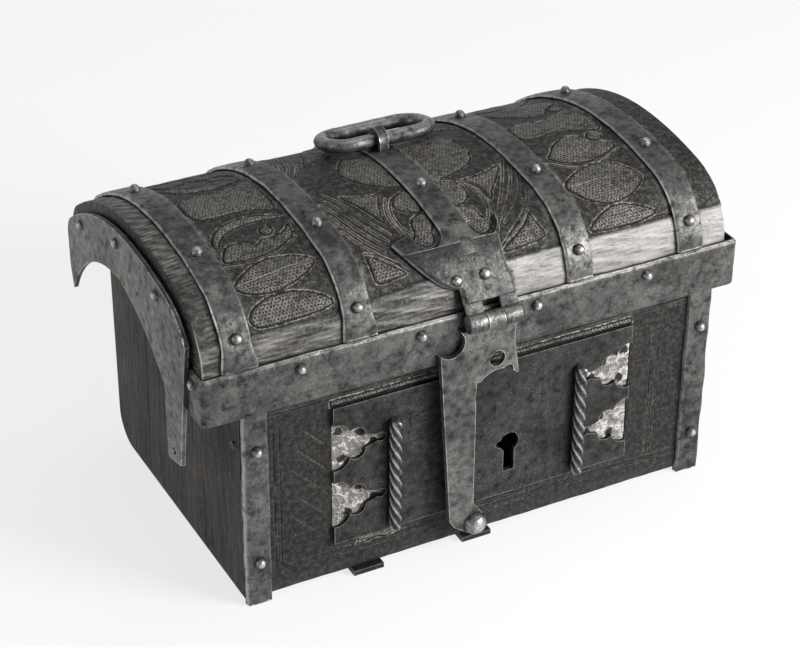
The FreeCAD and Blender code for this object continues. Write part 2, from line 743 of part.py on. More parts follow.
# Centre band, whose front end spreads to a winged plate and ends in the hasp's outer knuckles
def winged_plan():
    """Plan of the centre band: wings with round bites beside the band, narrowing to the barrel."""
    half = hasp_barrel_l / 2
    low_y = lid_front_y + 1.0
    tip_y = lid_front_y + wing_reach
    mid_y = low_y + (tip_y - low_y) * 0.45
    top_y = tip_y + 5.0
    band_left = band_mid_x - band_w / 2
    band_right = band_mid_x + band_w / 2
    tip_left = V(band_mid_x + wing_shift - wing_half_w, tip_y, 0)
    tip_right = V(band_mid_x + wing_shift + wing_half_w, tip_y, 0)
    low_left = V(hasp_x - half, low_y, 0)
    low_right = V(hasp_x + half, low_y, 0)
    mid_left = V(tip_left.x + 0.27 * (low_left.x - tip_left.x), mid_y, 0)
    mid_right = V(tip_right.x + 1.2 * (low_right.x - tip_right.x), mid_y, 0)
    back = [tip_right, V(band_right, top_y, 0), V(band_right, lid_back_y + 5, 0),
            V(band_left, lid_back_y + 5, 0), V(band_left, top_y, 0), tip_left]
    front = [low_left, V(low_left.x, hasp_y - 5, 0), V(low_right.x, hasp_y - 5, 0), low_right]
    edges = Part.makePolygon(back).Edges + Part.makePolygon(front).Edges
    edges.append(Part.Arc(tip_left, mid_left, low_left).toShape())
    edges.append(Part.Arc(low_right, mid_right, tip_right).toShape())
    plan = Part.Face(Part.Wire(Part.__sortEdges__(edges))).extrude(V(0, 0, crest_z + 20))
    for x in (band_left - wing_bite_r, band_right + wing_bite_r):
        plan = plan.cut(Part.makeCylinder(wing_bite_r, crest_z + 20, V(x, tip_y + 1.0, 0)))
    return plan


def centre_band():
    """Winged band that leaves the shoulder in a straight line to the hasp's barrel."""
    left = band_mid_x + wing_shift - wing_half_w - 5
    right = band_mid_x - wing_shift + wing_half_w + 5
    leave = V(left, front_centre_y, spring_z)
    land = V(left, hasp_y, hasp_z)
    strip = [leave + bridge_normal * bridge_outer_r, land + bridge_normal * hasp_barrel_r,
             land + bridge_normal * (hasp_barrel_r - band_t), leave + bridge_normal * front_shoulder_r]
    bridge = Part.Face(Part.makePolygon(strip + strip[:1])).extrude(V(right - left, 0, 0))
    corner = leave + bridge_normal * (bridge_outer_r + 5)
    beyond = [leave, corner, corner + bridge_onward * 60, leave + bridge_onward * 60]
    front = Part.Face(Part.makePolygon(beyond + beyond[:1])).extrude(V(right - left, 0, 0))
    band = arch_shell(-band_t, 0, lid_foot + band_foot_gap, left, right)
    band = band.cut(front).fuse(bridge).common(winged_plan())
    start = hasp_x - hasp_barrel_l / 2
    end = hasp_x + hasp_barrel_l / 2
    third = hasp_barrel_l / 3
    band = band.fuse(rod_along_x(hasp_barrel_r, start, end, hasp_y, hasp_z))
    band = band.cut(rod_along_x(hasp_barrel_r + knuckle_clear, start + third - knuckle_gap / 2,
                                end - third + knuckle_gap / 2, hasp_y, hasp_z))
    band = band.cut(rod_along_x(hasp_pin_r, start - 1, end + 1, hasp_y, hasp_z))
    return with_knuckle(band.cut(lid_holes), 2)


parts["lid_band_centre"] = centre_band()
parts["hasp_pin"] = rod_along_x(hasp_pin_r, hasp_x - hasp_barrel_l / 2, hasp_x + hasp_barrel_l / 2,
                                hasp_y, hasp_z)
parts["lid_band_rivets"] = group(rivet, band_places)


# Rim band along the front of the lid, bent back round both corners
def rim_band():
    """Strip with a return at each end; the right one stands off the lid's end."""
    left = lid_left - rim_t
    back = lid_front_y + rim_return
    band = box(left, return_right_face, rim_face_y, lid_front_y, rim_low, rim_top)
    band = band.fuse(box(left, lid_left, rim_face_y, back, rim_low, rim_top))
    band = band.fuse(box(return_right_face - rim_t, return_right_face, rim_face_y, back, rim_low, rim_top))
    band = band.removeSplitter()
    corners = [e for e in band.Edges if abs(e.tangentAt(e.FirstParameter).z) > 0.99
               and abs(e.Vertexes[0].Y - rim_face_y) < 0.01]
    return band.makeFillet(rim_t * 0.8, corners).cut(lid_holes)


parts["rim_band"] = rim_band()
parts["rim_rivets"] = group(rivet, rim_places)


def gable_strap(x0, x1):
    """Arched plate on the lid's end: a pointed leg at the back and a long tongue at the front."""
    shoulder = front_shoulder_r - gable_inset
    leave_turn = math.radians(gable_front_deg)
    join = on_circle(lid_crest_y, crest_z - front_arc_r, front_arc_r - gable_inset, -front_turn)
    bend = on_circle(front_centre_y, spring_z, shoulder, -(front_turn + leave_turn) / 2)
    leave = on_circle(front_centre_y, spring_z, shoulder, -leave_turn)
    back = half_arch(gable_inset, lid_foot, 1)
    back_top = back[-1].Vertexes[0].Point
    tip = V(0, back_top.y - 2.2, lid_foot - gable_tip_drop)
    back_in = V(0, back_top.y - gable_leg_w, lid_foot + 1.7)
    crown_in = V(0, lid_crest_y + 8.0, crest_z - gable_inset - gable_crown_w)
    front_bend = V(0, crown_in.y - 21.0, crown_in.z - 8.2)
    tongue_y = lid_front_y + gable_inset + gable_front_w
    tongue_in = V(0, tongue_y, lid_foot - 6.0)
    tongue_back = V(0, tongue_y, lid_foot - gable_tongue_drop - 1.0)
    tongue_front = V(0, tongue_y - gable_tongue_w, lid_foot - gable_tongue_drop + 1.5)
    path = half_arch(gable_inset, lid_foot, -1)[:1] + back[:-1]
    path.append(Part.Arc(join, bend, leave).toShape())
    path += Part.makePolygon([back_top, V(0, back_top.y, lid_foot - 4.0), tip]).Edges
    path.append(Part.Arc(tip, back_in, crown_in).toShape())
    path.append(Part.Arc(crown_in, front_bend, tongue_in).toShape())
    path += Part.makePolygon([tongue_in, tongue_back, tongue_front, leave]).Edges
    face = Part.Face(Part.Wire(Part.__sortEdges__(path)))
    face.translate(V(x0, 0, 0))
    hole = rod_along_x(gable_hole_r, x0 - 1, x1 + 1, tongue_y - gable_tongue_w / 2,
                       lid_foot - gable_tongue_drop + 4.5)
    return face.extrude(V(x1 - x0, 0, 0)).cut(hole).cut(lid_holes)


parts["gable_strap_left"] = gable_strap(gable_left_face, gable_left_face + gable_t)
parts["gable_strap_right"] = gable_strap(gable_right_face - gable_t, gable_right_face)
parts["gable_rivets"] = group(rivet, gable_places)

# Hasp: middle knuckle, a head with a round eye, and a long leg over the lock plate
leg_right = staple_x + hasp_leg_end_w / 2 + 0.5
knob_x = leg_right + 0.8


def hasp_plate():
    """Plate that hangs from the barrel, bitten round at both sides of its head."""
    half = hasp_barrel_l / 2
    third = hasp_barrel_l / 3
    head_low = hasp_z - hasp_head_h
    leg_left = staple_x - hasp_leg_end_w / 2 + 0.3
    barb_x = staple_x - hasp_leg_top_w / 2 - 2.6
    eye_x = hasp_x + 2.8
    outline = [
        (hasp_x - half, hasp_z),
        (hasp_x + half, hasp_z),
        (hasp_x + half - 0.6, hasp_z - 12.0),
        (hasp_x + half + 1.4, head_low),
        (leg_right, head_low),
        (leg_right, knob_z + 9.0),
        (knob_x + 3.4, knob_z + 3.0),
        (knob_x + 2.6, knob_z - 3.0),
        (knob_x - 3.0, knob_z - 3.6),
        (leg_left + 2.0, hasp_leg_end),
        (leg_left, hasp_leg_end + 3.0),
        (barb_x, hasp_z - 9.4),
    ]
    y0 = hasp_face_y - 1
    y1 = hasp_back_y + 1
    plate = front_prism(outline, hasp_face_y, hasp_back_y)
    plate = plate.cut(front_hole(barb_x + 4.2, hasp_z - 7.3, hasp_bite_r, y0, y1))
    plate = plate.cut(front_hole(leg_right + hasp_arch_r - 0.4, head_low - 6.0, hasp_arch_r, y0, y1))
    plate = plate.cut(front_hole(eye_x, hasp_z - 17.7, hasp_eye_r, y0, y1))
    plate = plate.cut(front_hole(eye_x + 4.6, hasp_z - 23.6, hasp_notch_r, y0, y1))
    low = hasp_x - half + third + knuckle_gap / 2
    high = hasp_x + half - third - knuckle_gap / 2
    clear_r = hasp_barrel_r + knuckle_clear
    for x0, x1 in ((low - 2 * half, low), (high, high + 2 * half)):
        plate = plate.cut(rod_along_x(clear_r, x0, x1, hasp_y, hasp_z))
        plate = plate.cut(box(x0, x1, y0, y1, hasp_z - hasp_barrel_r, hasp_z + half))
    plate = plate.fuse(rod_along_x(hasp_barrel_r, low, high, hasp_y, hasp_z))
    bore = rod_along_x(hasp_pin_r + pin_clear, low - 1, high + 1, hasp_y, hasp_z)
    return plate.cut(bore).removeSplitter()


def hasp_staple():
    """Eye on the back of the leg, which the bolt passes through behind the lock plate."""
    left = staple_x - staple_t / 2
    right = staple_x + staple_t / 2
    plate = box(left, right, hasp_back_y, staple_tip_y, staple_low, staple_high)
    eye = box(left - 1, right + 1, bolt_front_y - staple_eye_clear, bolt_back_y + staple_eye_clear,
              nose_low - staple_eye_clear, nose_high + staple_eye_clear)
    return plate.cut(eye)


parts["hasp_plate"] = hasp_plate()
parts["hasp_staple"] = hasp_staple()
parts["hasp_knob"] = Part.makeSphere(knob_r, V(knob_x, hasp_face_y, knob_z), V(0, -1, 0), 0, 90, 360)


# Ring handle: an oval of four arcs, lying back on the lid from its staple
def ring_handle():
    """Bar hammered to eight sides and bent to an oval, its ends butted beside the staple."""
    half_l = ring_l / 2 - ring_bar_r
    half_d = ring_d / 2 - ring_bar_r
    reach = half_l - ring_end_r
    side_c = (reach ** 2 - (half_d - ring_end_r) ** 2) / (2 * (half_d - ring_end_r))
    lean = math.degrees(math.atan2(reach, side_c))
    rest = lid_surface(ring_y + 2 * half_d, band_t + ring_bar_r + ring_rest_clear)[0]
    tilt = math.degrees(math.atan2(rest.z - eye_z, rest.y - ring_y))
    pieces = []
    for sign in (-1, 1):
        centre = V(0, half_d - sign * side_c, 0)
        section = stand_on(Part.Face(octagon(ring_bar_r, 0)), V(0, half_d + sign * half_d, 0), X_AXIS)
        section.rotate(centre, Z_AXIS, -lean)
        pieces.append(section.revolve(centre, Z_AXIS, 2 * lean))
        centre = V(sign * reach, half_d, 0)
        section = stand_on(Part.Face(octagon(ring_bar_r, 0)), V(sign * half_l, half_d, 0), Y_AXIS)
        section.rotate(centre, Z_AXIS, lean - 90)
        pieces.append(section.revolve(centre, Z_AXIS, 180 - 2 * lean))
    ring = pieces[0].fuse(pieces[1:]).removeSplitter()
    joint = handle_staple_w / 2 + 1.6 - ring_shift_x
    across = 2 * ring_bar_r
    gap = box(joint, joint + ring_joint_gap, -across, across, -across, across)
    ring = ring.cut(gap).Solids[0]
    ring.rotate(V(0, 0, 0), X_AXIS, tilt)
    ring.translate(V(band_mid_x + ring_shift_x, ring_y, eye_z))
    return ring


parts["ring_handle"] = ring_handle()

os.makedirs("parts", exist_ok=True)
for name, shape in parts.items():
    solids = shape.Solids
    kept = solids[0] if len(solids) == 1 else Part.makeCompound(solids)
    kept.exportStep("parts/" + name + ".step")
    print(name, len(solids), round(shape.Volume, 1), shape.isValid())
print(len(parts), "nodes; lid axis", round(hinge_y, 2), round(hinge_z, 2),
      "hasp axis", round(hasp_x, 2), round(hasp_y, 2), round(hasp_z, 2),
      "ring axis", round(ring_y, 2), round(eye_z, 2), "slot", round(slot_low, 2), round(slot_high, 2))
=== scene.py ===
# %% [markdown]
# # A small locked casket with a barrel lid
# The real casket is a box of dark boards under a rounded lid. The lid is covered with tooled leather and
# bound with wrought iron, and a hasp comes down over a pierced lock plate. The CAD model already holds
# every piece in its place. This lesson dresses it: soft or worn shapes are worked out again as surfaces
# with numpy, and the flat iron keeps its CAD shape and gets a finish. Shapes are written in millimetres,
# finishes, lamps and the camera in metres.

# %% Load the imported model
import math
import bpy
import numpy as np
from mathutils import Matrix, Vector


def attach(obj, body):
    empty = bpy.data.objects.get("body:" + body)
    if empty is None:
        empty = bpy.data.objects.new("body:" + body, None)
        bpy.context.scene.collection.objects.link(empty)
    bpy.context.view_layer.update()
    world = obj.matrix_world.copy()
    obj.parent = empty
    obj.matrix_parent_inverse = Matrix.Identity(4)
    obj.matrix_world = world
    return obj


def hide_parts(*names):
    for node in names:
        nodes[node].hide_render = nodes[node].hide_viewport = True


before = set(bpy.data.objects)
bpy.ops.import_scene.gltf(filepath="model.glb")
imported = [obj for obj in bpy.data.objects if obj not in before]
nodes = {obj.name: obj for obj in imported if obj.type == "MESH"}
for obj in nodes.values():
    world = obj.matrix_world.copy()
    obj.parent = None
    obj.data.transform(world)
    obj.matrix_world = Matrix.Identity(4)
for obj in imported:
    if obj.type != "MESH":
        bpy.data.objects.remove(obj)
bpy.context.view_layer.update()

mm = 0.001

# %% [markdown]
# ## Camera
# The photograph looks down on the left front corner with a long lens. A camera could be aimed by eye, but
# its place and its three axes are known from a fit to the casket's corners, so they are set as a matrix.

# %% Camera
def stand_camera():
    """Camera whose columns are the axes right, up and back, with the eye as the last column."""
    eye = (-0.341287, -0.638776, 0.499465)
    right = (0.8856878, -0.4642418, 0.0060509)
    up = (0.2370233, 0.4633264, 0.8539020)
    ahead = (0.3992205, 0.7548564, -0.5203987)
    lens = bpy.data.cameras.new("long_lens")
    lens.sensor_width, lens.lens, lens.clip_start = 36.0, 101.418, 0.01
    camera = bpy.data.objects.new("long_lens", lens)
    bpy.context.collection.objects.link(camera)
    rows = [(right[k], up[k], -ahead[k], eye[k]) for k in range(3)]
    camera.matrix_world = Matrix(rows + [(0, 0, 0, 1)])
    bpy.context.scene.camera = camera
    return camera


bpy.context.scene.view_settings.view_transform = "Standard"
print("camera", stand_camera().name)

# %% [markdown]
# ## Finishes in plain words
# A finish in Blender is a tree of nodes, which takes many lines to write. These helpers say the same in
# words. A value that changes over the surface is a socket, and a socket knows the tree it belongs to, so
# the tree is named only where there is no socket yet.

# %% Node helpers
def plug(socket, value):
    """Links a value that changes over the surface; any other value is set on the socket itself."""
    if isinstance(value, bpy.types.NodeSocket):
        socket.id_data.links.new(value, socket)
    else:
        plain_colour = socket.type == "RGBA" and len(value) == 3
        socket.default_value = (*value, 1.0) if plain_colour else value


def join(tree, kind, sockets=None, **settings):
    """Adds one node with its settings, and plugs values into its sockets."""
    node = tree.nodes.new(kind)
    for name, value in settings.items():
        setattr(node, name, value)
    for key, value in (sockets or {}).items():
        plug(node.inputs[key], value)
    return node


def sums(operation, *terms):
    """One step of arithmetic on values, at least one of which changes over the surface."""
    tree = next(term.id_data for term in terms if isinstance(term, bpy.types.NodeSocket))
    return join(tree, "ShaderNodeMath", dict(enumerate(terms)), operation=operation).outputs[0]


def times(first, *others):
    """Product of two or more values."""
    for other in others:
        first = sums("MULTIPLY", first, other)
    return first


def most(first, second):
    """The larger of two values."""
    return sums("MAXIMUM", first, second)


def vectors(operation, *terms):
    """One step of arithmetic on places or directions; the outputs are the vector and the value."""
    return join(terms[0].id_data, "ShaderNodeVectorMath", dict(enumerate(terms)), operation=operation).outputs


def ease(value, low, high, start=0.0, end=1.0):
    """Smooth step from start to end while the value goes from low to high."""
    sockets = {"Value": value, "From Min": low, "From Max": high, "To Min": start, "To Max": end}
    return join(value.id_data, "ShaderNodeMapRange", sockets, interpolation_type="SMOOTHSTEP").outputs[0]


def paint(colour, *coats):
    """A colour under coats, each of which is an amount from 0 to 1 and the coat's colour."""
    for amount, coat in coats:
        sockets = {0: amount, 6: colour, 7: coat}
        colour = join(amount.id_data, "ShaderNodeMix", sockets, data_type="RGBA").outputs[2]
    return colour


def shade(colour, amount):
    """A colour made darker or paler by a factor."""
    sockets = {0: colour, "Scale": amount}
    return join(colour.id_data, "ShaderNodeVectorMath", sockets, operation="SCALE").outputs[0]


def clouds(where, scale, detail=4.0, rough=0.55, stretch=(1, 1, 1)):
    """Noise with the given number of blots to the metre, drawn out along the axes by a Mapping node."""
    placed = join(where.id_data, "ShaderNodeMapping", {"Vector": where, "Scale": stretch}).outputs[0]
    sockets = {"Vector": placed, "Scale": scale, "Detail": detail, "Roughness": rough}
    return join(where.id_data, "ShaderNodeTexNoise", sockets).outputs[0]


def new_finish(name):
    """Empty material: the material, its tree, its Principled shader and the Object coordinates."""
    finish = bpy.data.materials.new(name)
    finish.use_nodes = True
    tree = finish.node_tree
    place = tree.nodes.new("ShaderNodeTexCoord").outputs["Object"]
    return finish, tree, tree.nodes["Principled BSDF"], place


def connect(shader, height, depth, **inputs):
    """Plugs values into a shader, with the height as a bump of the given depth in metres."""
    for name, value in inputs.items():
        plug(shader.inputs[name.replace("_", " ")], value)
    bump = join(shader.id_data, "ShaderNodeBump", {"Strength": 1.0, "Distance": depth, "Height": height})
    plug(shader.inputs["Normal"], bump.outputs[0])


print("node helpers ready")

# %% [markdown]
# ## Light and floor
# The photograph has soft studio light. A lamp at the right front makes the leather of the shoulder shine,
# one overhead lights the lid, and a weaker one fills from the left. Walls could be built for the iron to
# reflect, but a world that is white only for the camera and for reflections does the same with no more
# light. The floor is pale, and for the camera most of it is white by itself; the rest takes the shadow.

# %% World, lamps and floor
def ray_is(tree, *kinds):
    """1 for rays of the given kinds, 0 for all others."""
    path = tree.nodes.new("ShaderNodeLightPath").outputs
    seen, *others = (path[f"Is {kind} Ray"] for kind in kinds)
    for other in others:
        seen = most(seen, other)
    return seen


def pale_world(ambient, white):
    """Soft grey light from all round; the camera and reflections see white walls under a grey ceiling."""
    world = bpy.data.worlds.new("pale_room")
    bpy.context.scene.world = world
    world.use_nodes = True
    tree = world.node_tree
    tree.nodes.clear()
    around = tree.nodes.new("ShaderNodeTexCoord").outputs["Generated"]
    upward = join(tree, "ShaderNodeSeparateXYZ", {0: around}).outputs[2]
    walls = times(ease(upward, 0.05, 0.7, 1.0, 0.35), white)
    soft, bright = (join(tree, "ShaderNodeBackground", {"Color": (1, 1, 1), "Strength": strength}).outputs[0]
                    for strength in (ambient, walls))
    seen = ray_is(tree, "Camera", "Glossy", "Transmission")
    both = join(tree, "ShaderNodeMixShader", {0: seen, 1: soft, 2: bright})
    join(tree, "ShaderNodeOutputWorld", {"Surface": both.outputs[0]})


def soft_lamp(name, place, aim, width, height, watts):
    """Rectangular lamp that looks from its place to its aim."""
    lamp = bpy.data.lights.new(name, "AREA")
    lamp.shape, lamp.size, lamp.size_y, lamp.energy = "RECTANGLE", width, height, watts
    stand = bpy.data.objects.new(name, lamp)
    bpy.context.collection.objects.link(stand)
    turn = (Vector(aim) - Vector(place)).to_track_quat("-Z", "Y")
    stand.matrix_world = Matrix.Translation(place) @ turn.to_matrix().to_4x4()


def lay_floor(reach, own_white):
    """Flat square at height 0; the given part of what the camera sees of it is white by itself."""
    mesh = bpy.data.meshes.new("floor")
    corners = [(-reach, -reach, 0), (reach, -reach, 0), (reach, reach, 0), (-reach, reach, 0)]
    mesh.from_pydata(corners, [], [(0, 1, 2, 3)])
    floor = bpy.data.objects.new("floor", mesh)
    bpy.context.collection.objects.link(floor)
    finish, tree, shader, place = new_finish("pale_floor")
    connect(shader, clouds(place, 60.0), 0.0001, Base_Color=(0.88, 0.88, 0.88), Roughness=0.9)
    glow = join(tree, "ShaderNodeEmission", {"Color": (0.98, 0.98, 0.98), "Strength": 1.0})
    part = times(ray_is(tree, "Camera", "Glossy"), own_white)
    both = join(tree, "ShaderNodeMixShader", {0: part, 1: shader.outputs[0], 2: glow.outputs[0]})
    plug(tree.nodes["Material Output"].inputs["Surface"], both.outputs[0])
    mesh.materials.append(finish)


pale_world(ambient=0.26, white=0.90)
soft_lamp("right_front", (0.66, -0.78, 0.46), (0, 0, 0.08), 0.5, 0.4, 19.5)
soft_lamp("overhead", (0.3, 0.1, 2.0), (0, 0, 0.05), 1.2, 1.2, 9.5)
soft_lamp("left_fill", (-2.0, 0.0, 0.45), (0, 0, 0.08), 0.9, 0.7, 13)
lay_floor(reach=6.0, own_white=0.76)
print("lamps and floor set")

# %% [markdown]
# ## Effects that several finishes share
# Old iron, leather and wood all have blots of several sizes and pale worn edges; iron and leather also get
# painted shade in their corners and creases, found by ambient occlusion, with the grime that gathers there.
# Each effect is one node group, so a change in it shows on the whole casket. The edge effect compares
# the true normal with one that is averaged over a small radius: where they differ, there is an edge.
# The leather's dots come from a punch set row by row, each row half a step on from the last; two
# lattices, one in the middle of the other, give that pattern as the distance to the nearest dot.

# %% Shared effects
def new_effect(name, inputs, outputs):
    """Node group; a word such as Place:Vector names a socket and its kind, a word alone is a value."""
    tree = bpy.data.node_groups.new(name, "ShaderNodeTree")
    for side, words in (("INPUT", inputs), ("OUTPUT", outputs)):
        for word in words.split():
            label, _, kind = word.partition(":")
            tree.interface.new_socket(label, in_out=side, socket_type="NodeSocket" + (kind or "Float"))
    return tree, tree.nodes.new("NodeGroupInput").outputs, tree.nodes.new("NodeGroupOutput").inputs


def use_effect(tree, effect, **inputs):
    """Places an effect in a finish, or in another effect, and returns its outputs."""
    return join(tree, "ShaderNodeGroup", inputs, node_tree=effect).outputs


def give(made, **values):
    """Links values to the outputs of an effect."""
    for name, value in values.items():
        plug(made[name], value)


def kept_marks(tree, names):
    """Values that the mesh keeps for each of its points."""
    return [join(tree, "ShaderNodeAttribute", attribute_name=name).outputs["Fac"] for name in names.split()]


blots, given, made = new_effect("blots", "Place:Vector Blots", "Broad Fine Grit")
place, count = given["Place"], given["Blots"]
give(made, Broad=clouds(place, count, 5.0, 0.6), Fine=clouds(place, times(count, 8.0), 5.0, 0.66),
     Grit=clouds(place, times(count, 28.0), 2.0, 0.6))

worn_edge, given, made = new_effect("worn_edge", "Reach", "Mask")
rounded = join(worn_edge, "ShaderNodeBevel", {"Radius": given["Reach"]}, samples=6).outputs[0]
true_normal = worn_edge.nodes.new("ShaderNodeNewGeometry").outputs["Normal"]
give(made, Mask=ease(vectors("DOT_PRODUCT", rounded, true_normal)["Value"], 0.995, 0.86))

# Painted shade: darker where ambient occlusion finds nearby surfaces, in corners, creases and between parts; it
# also stands for grime there.
grime_and_shade, given, made = new_effect("grime_and_shade", "Reach", "Mask")
corner = join(grime_and_shade, "ShaderNodeAmbientOcclusion", {"Distance": given["Reach"]}, samples=6).outputs["AO"]
give(made, Mask=ease(corner, 0.85, 0.35))

punched, given, made = new_effect("punched_dots", "Flat:Vector Pitch", "Distance")
row_gap = 1.732
lattice = {0: given["Pitch"], 1: times(given["Pitch"], row_gap)}
lattice = join(punched, "ShaderNodeCombineXYZ", lattice).outputs[0]
nearest = []
for shift in (0.0, 0.5):
    cell = vectors("DIVIDE", given["Flat"], lattice)[0]
    cell = vectors("FRACTION", vectors("ADD", cell, (shift, shift, 0))[0])[0]
    cell = vectors("MULTIPLY", vectors("SUBTRACT", cell, (0.5, 0.5, 0))[0], lattice)[0]
    nearest.append(vectors("LENGTH", cell)["Value"])
give(made, Distance=sums("MINIMUM", *nearest))
shade_reach = 0.003
print("effects:", [group.name for group in bpy.data.node_groups])

# %% [markdown]
# ## Wrought iron
# The iron is hand-forged strip, black in the hollows, where the corners get painted shade, and grey where hands
# rubbed it, where some tops and edges also get a painted sheen. One even grey metal would look cast. Real iron
# of this age is a mix of bare metal and scale, so the colour and the roughness both follow the blots, and the
# edges come out pale.

# %% Iron effect
def iron_effect():
    """Scale and bare metal by blots: stains and pits are darker; specks and worn edges are paler, with a
    painted sheen where the mesh keeps it;
    painted shade in corners and where the mesh keeps it, with soot, is black."""
    inputs = "Place:Vector Blots Rubbed Soot Edge Smooth Scale:Color Bare:Color Worn:Color"
    tree, given, made = new_effect("old_iron", inputs, "Colour:Color Roughness Height")
    scale = given["Scale"]
    broad, fine, grit = use_effect(tree, blots, Place=given["Place"], Blots=given["Blots"])
    bare = ease(sums("MULTIPLY_ADD", broad, 0.55, times(fine, 0.65)), 0.40, 0.86)
    stain = ease(fine, 0.43, 0.33, 0.0, 0.6)
    # Pale edges: wear found by the bevel mask, and the value kept on the mesh, which is wear and also a painted
    # sheen on tops and edges.
    edges = most(use_effect(tree, worn_edge, Reach=0.0006)["Mask"], given["Rubbed"])
    edges = times(edges, given["Edge"], ease(fine, 0.32, 0.54, 0.3, 1.0))
    specks = times(ease(grit, 0.57, 0.70, 0.0, 0.16), ease(broad, 0.36, 0.56, 0.15, 1.0))
    pits = ease(grit, 0.40, 0.31, 0.0, 0.8)
    # Painted shade, with soot: black in corners and where the mesh keeps it.
    dirt_and_shade = most(times(use_effect(tree, grime_and_shade, Reach=shade_reach)["Mask"], 0.85), given["Soot"])
    colour = paint(scale, (bare, given["Bare"]), (stain, shade(scale, 0.4)),
                   (most(edges, specks), given["Worn"]), (pits, shade(scale, 0.5)), (dirt_and_shade, shade(scale, 0.25)))
    gloss = sums("SUBTRACT", sums("ADD", bare, edges), stain)
    levels = {"Value": gloss, "From Min": -0.5, "From Max": 1.2, "To Min": 0.62, "To Max": given["Smooth"]}
    rough = join(tree, "ShaderNodeMapRange", levels).outputs[0]
    give(made, Colour=colour, Roughness=rough, Height=sums("MULTIPLY_ADD", grit, 0.25, fine))
    return tree


old_iron = iron_effect()
print("iron effect", len(old_iron.nodes), "nodes")

# %% [markdown]
# ## Five tones of iron
# The same iron looks different by what was done to it: the plates are nearly black, the bands are grey, the
# hasp is handled most, the hinge's barrel is smooth, and the rivets' heads are rubbed bright. So one effect
# is placed in five finishes, each with its own tones, size of blots and smoothness.

# %% Iron finishes
def wrought_iron(name, scale_tone, bare_tone, worn_and_sheen_tone, blot=38.0, edge=0.8, bump=0.0003, smooth=0.34):
    """Old iron in its own tones; the metal is dull, so the shader is three quarters metallic."""
    finish, tree, shader, place = new_finish(name)
    rubbed, soot = kept_marks(tree, "rubbed soot")
    look = use_effect(tree, old_iron, Place=place, Blots=blot, Rubbed=rubbed, Soot=soot, Edge=edge,
                      Smooth=smooth, Scale=scale_tone, Bare=bare_tone, Worn=worn_and_sheen_tone)
    connect(shader, look["Height"], bump, Base_Color=look["Colour"], Roughness=look["Roughness"], Metallic=0.75)
    return finish


plate_iron = wrought_iron("plate_iron", (0.0145, 0.0139, 0.0132), (0.066, 0.064, 0.061),
                          (0.34, 0.333, 0.326), smooth=0.42)
band_iron = wrought_iron("band_iron", (0.030, 0.0288, 0.0274), (0.155, 0.150, 0.143),
                         (0.47, 0.46, 0.45), edge=0.95, smooth=0.37)
barrel_iron = wrought_iron("barrel_iron", (0.036, 0.0346, 0.0329), (0.17, 0.165, 0.158),
                           (0.42, 0.41, 0.40), blot=90.0, smooth=0.30)
hasp_iron = wrought_iron("hasp_iron", (0.040, 0.0384, 0.0365), (0.21, 0.204, 0.195),
                         (0.58, 0.57, 0.56), edge=0.95, smooth=0.42)
rivet_iron = wrought_iron("rivet_iron", (0.055, 0.053, 0.051), (0.26, 0.254, 0.247),
                          (0.66, 0.65, 0.63), blot=120.0, bump=0.00015, smooth=0.26)


def dress(finish, names):
    """Gives a finish to CAD nodes, whose meshes stay as they are."""
    for name in names.split():
        mesh = nodes[name].data
        if not mesh.materials:
            mesh.materials.append(finish)
        for place in nodes[name].material_slots:
            place.material = finish


dress(plate_iron, "lock_plate hasp_staple lock_bolt bolt_guide bolt_spring lock_cover hinge_pins board_nails")
dress(plate_iron, "hinge_strap_left hinge_strap_centre hinge_strap_right")
dress(band_iron, "gable_strap_left gable_strap_right handle_staple hasp_pin")
dress(hasp_iron, "hasp_plate")
print("iron on the CAD nodes")

# %% [markdown]
# ## Old boards
# The end boards are bare dark wood with faint upright grain, specks and pale rubbed edges. Rings could be
# worked out from a tree's trunk, but such thin boards show only lines. So the grain is noise drawn out along
# one axis, with thin dark cracks from a second noise that is drawn out further.

# %% Wood finish
def grain_effect():
    """Grain and cracks are noise drawn out by Pull and, further, by Far; blots and specks vary the tone."""
    inputs = "Place:Vector Pull:Vector Far:Vector Dark:Color Pale:Color"
    tree, given, made = new_effect("board_grain", inputs, "Colour:Color Roughness Height")
    place, dark, pale = given["Place"], given["Dark"], given["Pale"]
    grain = clouds(place, 560.0, 6.0, 0.7, given["Pull"])
    bands = clouds(place, 90.0, 3.0, 0.5, given["Pull"])
    cracks = ease(clouds(place, 300.0, 2.0, 0.5, given["Far"]), 0.37, 0.31)
    broad, fine, grit = use_effect(tree, blots, Place=place, Blots=45.0)
    tone = sums("MULTIPLY_ADD", grain, 0.85, times(bands, 0.3))
    specks = times(ease(grit, 0.50, 0.62, 0.0, 0.8), ease(fine, 0.44, 0.60))
    edges = times(use_effect(tree, worn_edge, Reach=0.0016)["Mask"], ease(fine, 0.4, 0.65, 0.1, 0.75))
    colour = paint(dark, (ease(tone, 0.36, 0.86), pale), (ease(broad, 0.48, 0.30, 0.0, 0.6), shade(pale, 1.6)),
                   (ease(broad, 0.50, 0.68, 0.0, 0.75), shade(dark, 0.5)), (specks, shade(pale, 2.2)),
                   (edges, shade(pale, 2.4)), (times(cracks, 0.85), shade(dark, 0.3)))
    give(made, Colour=colour, Roughness=ease(tone, 0.4, 0.8, 0.78, 0.55),
         Height=sums("MULTIPLY_ADD", cracks, -0.8, grain))
    return tree


board_grain = grain_effect()


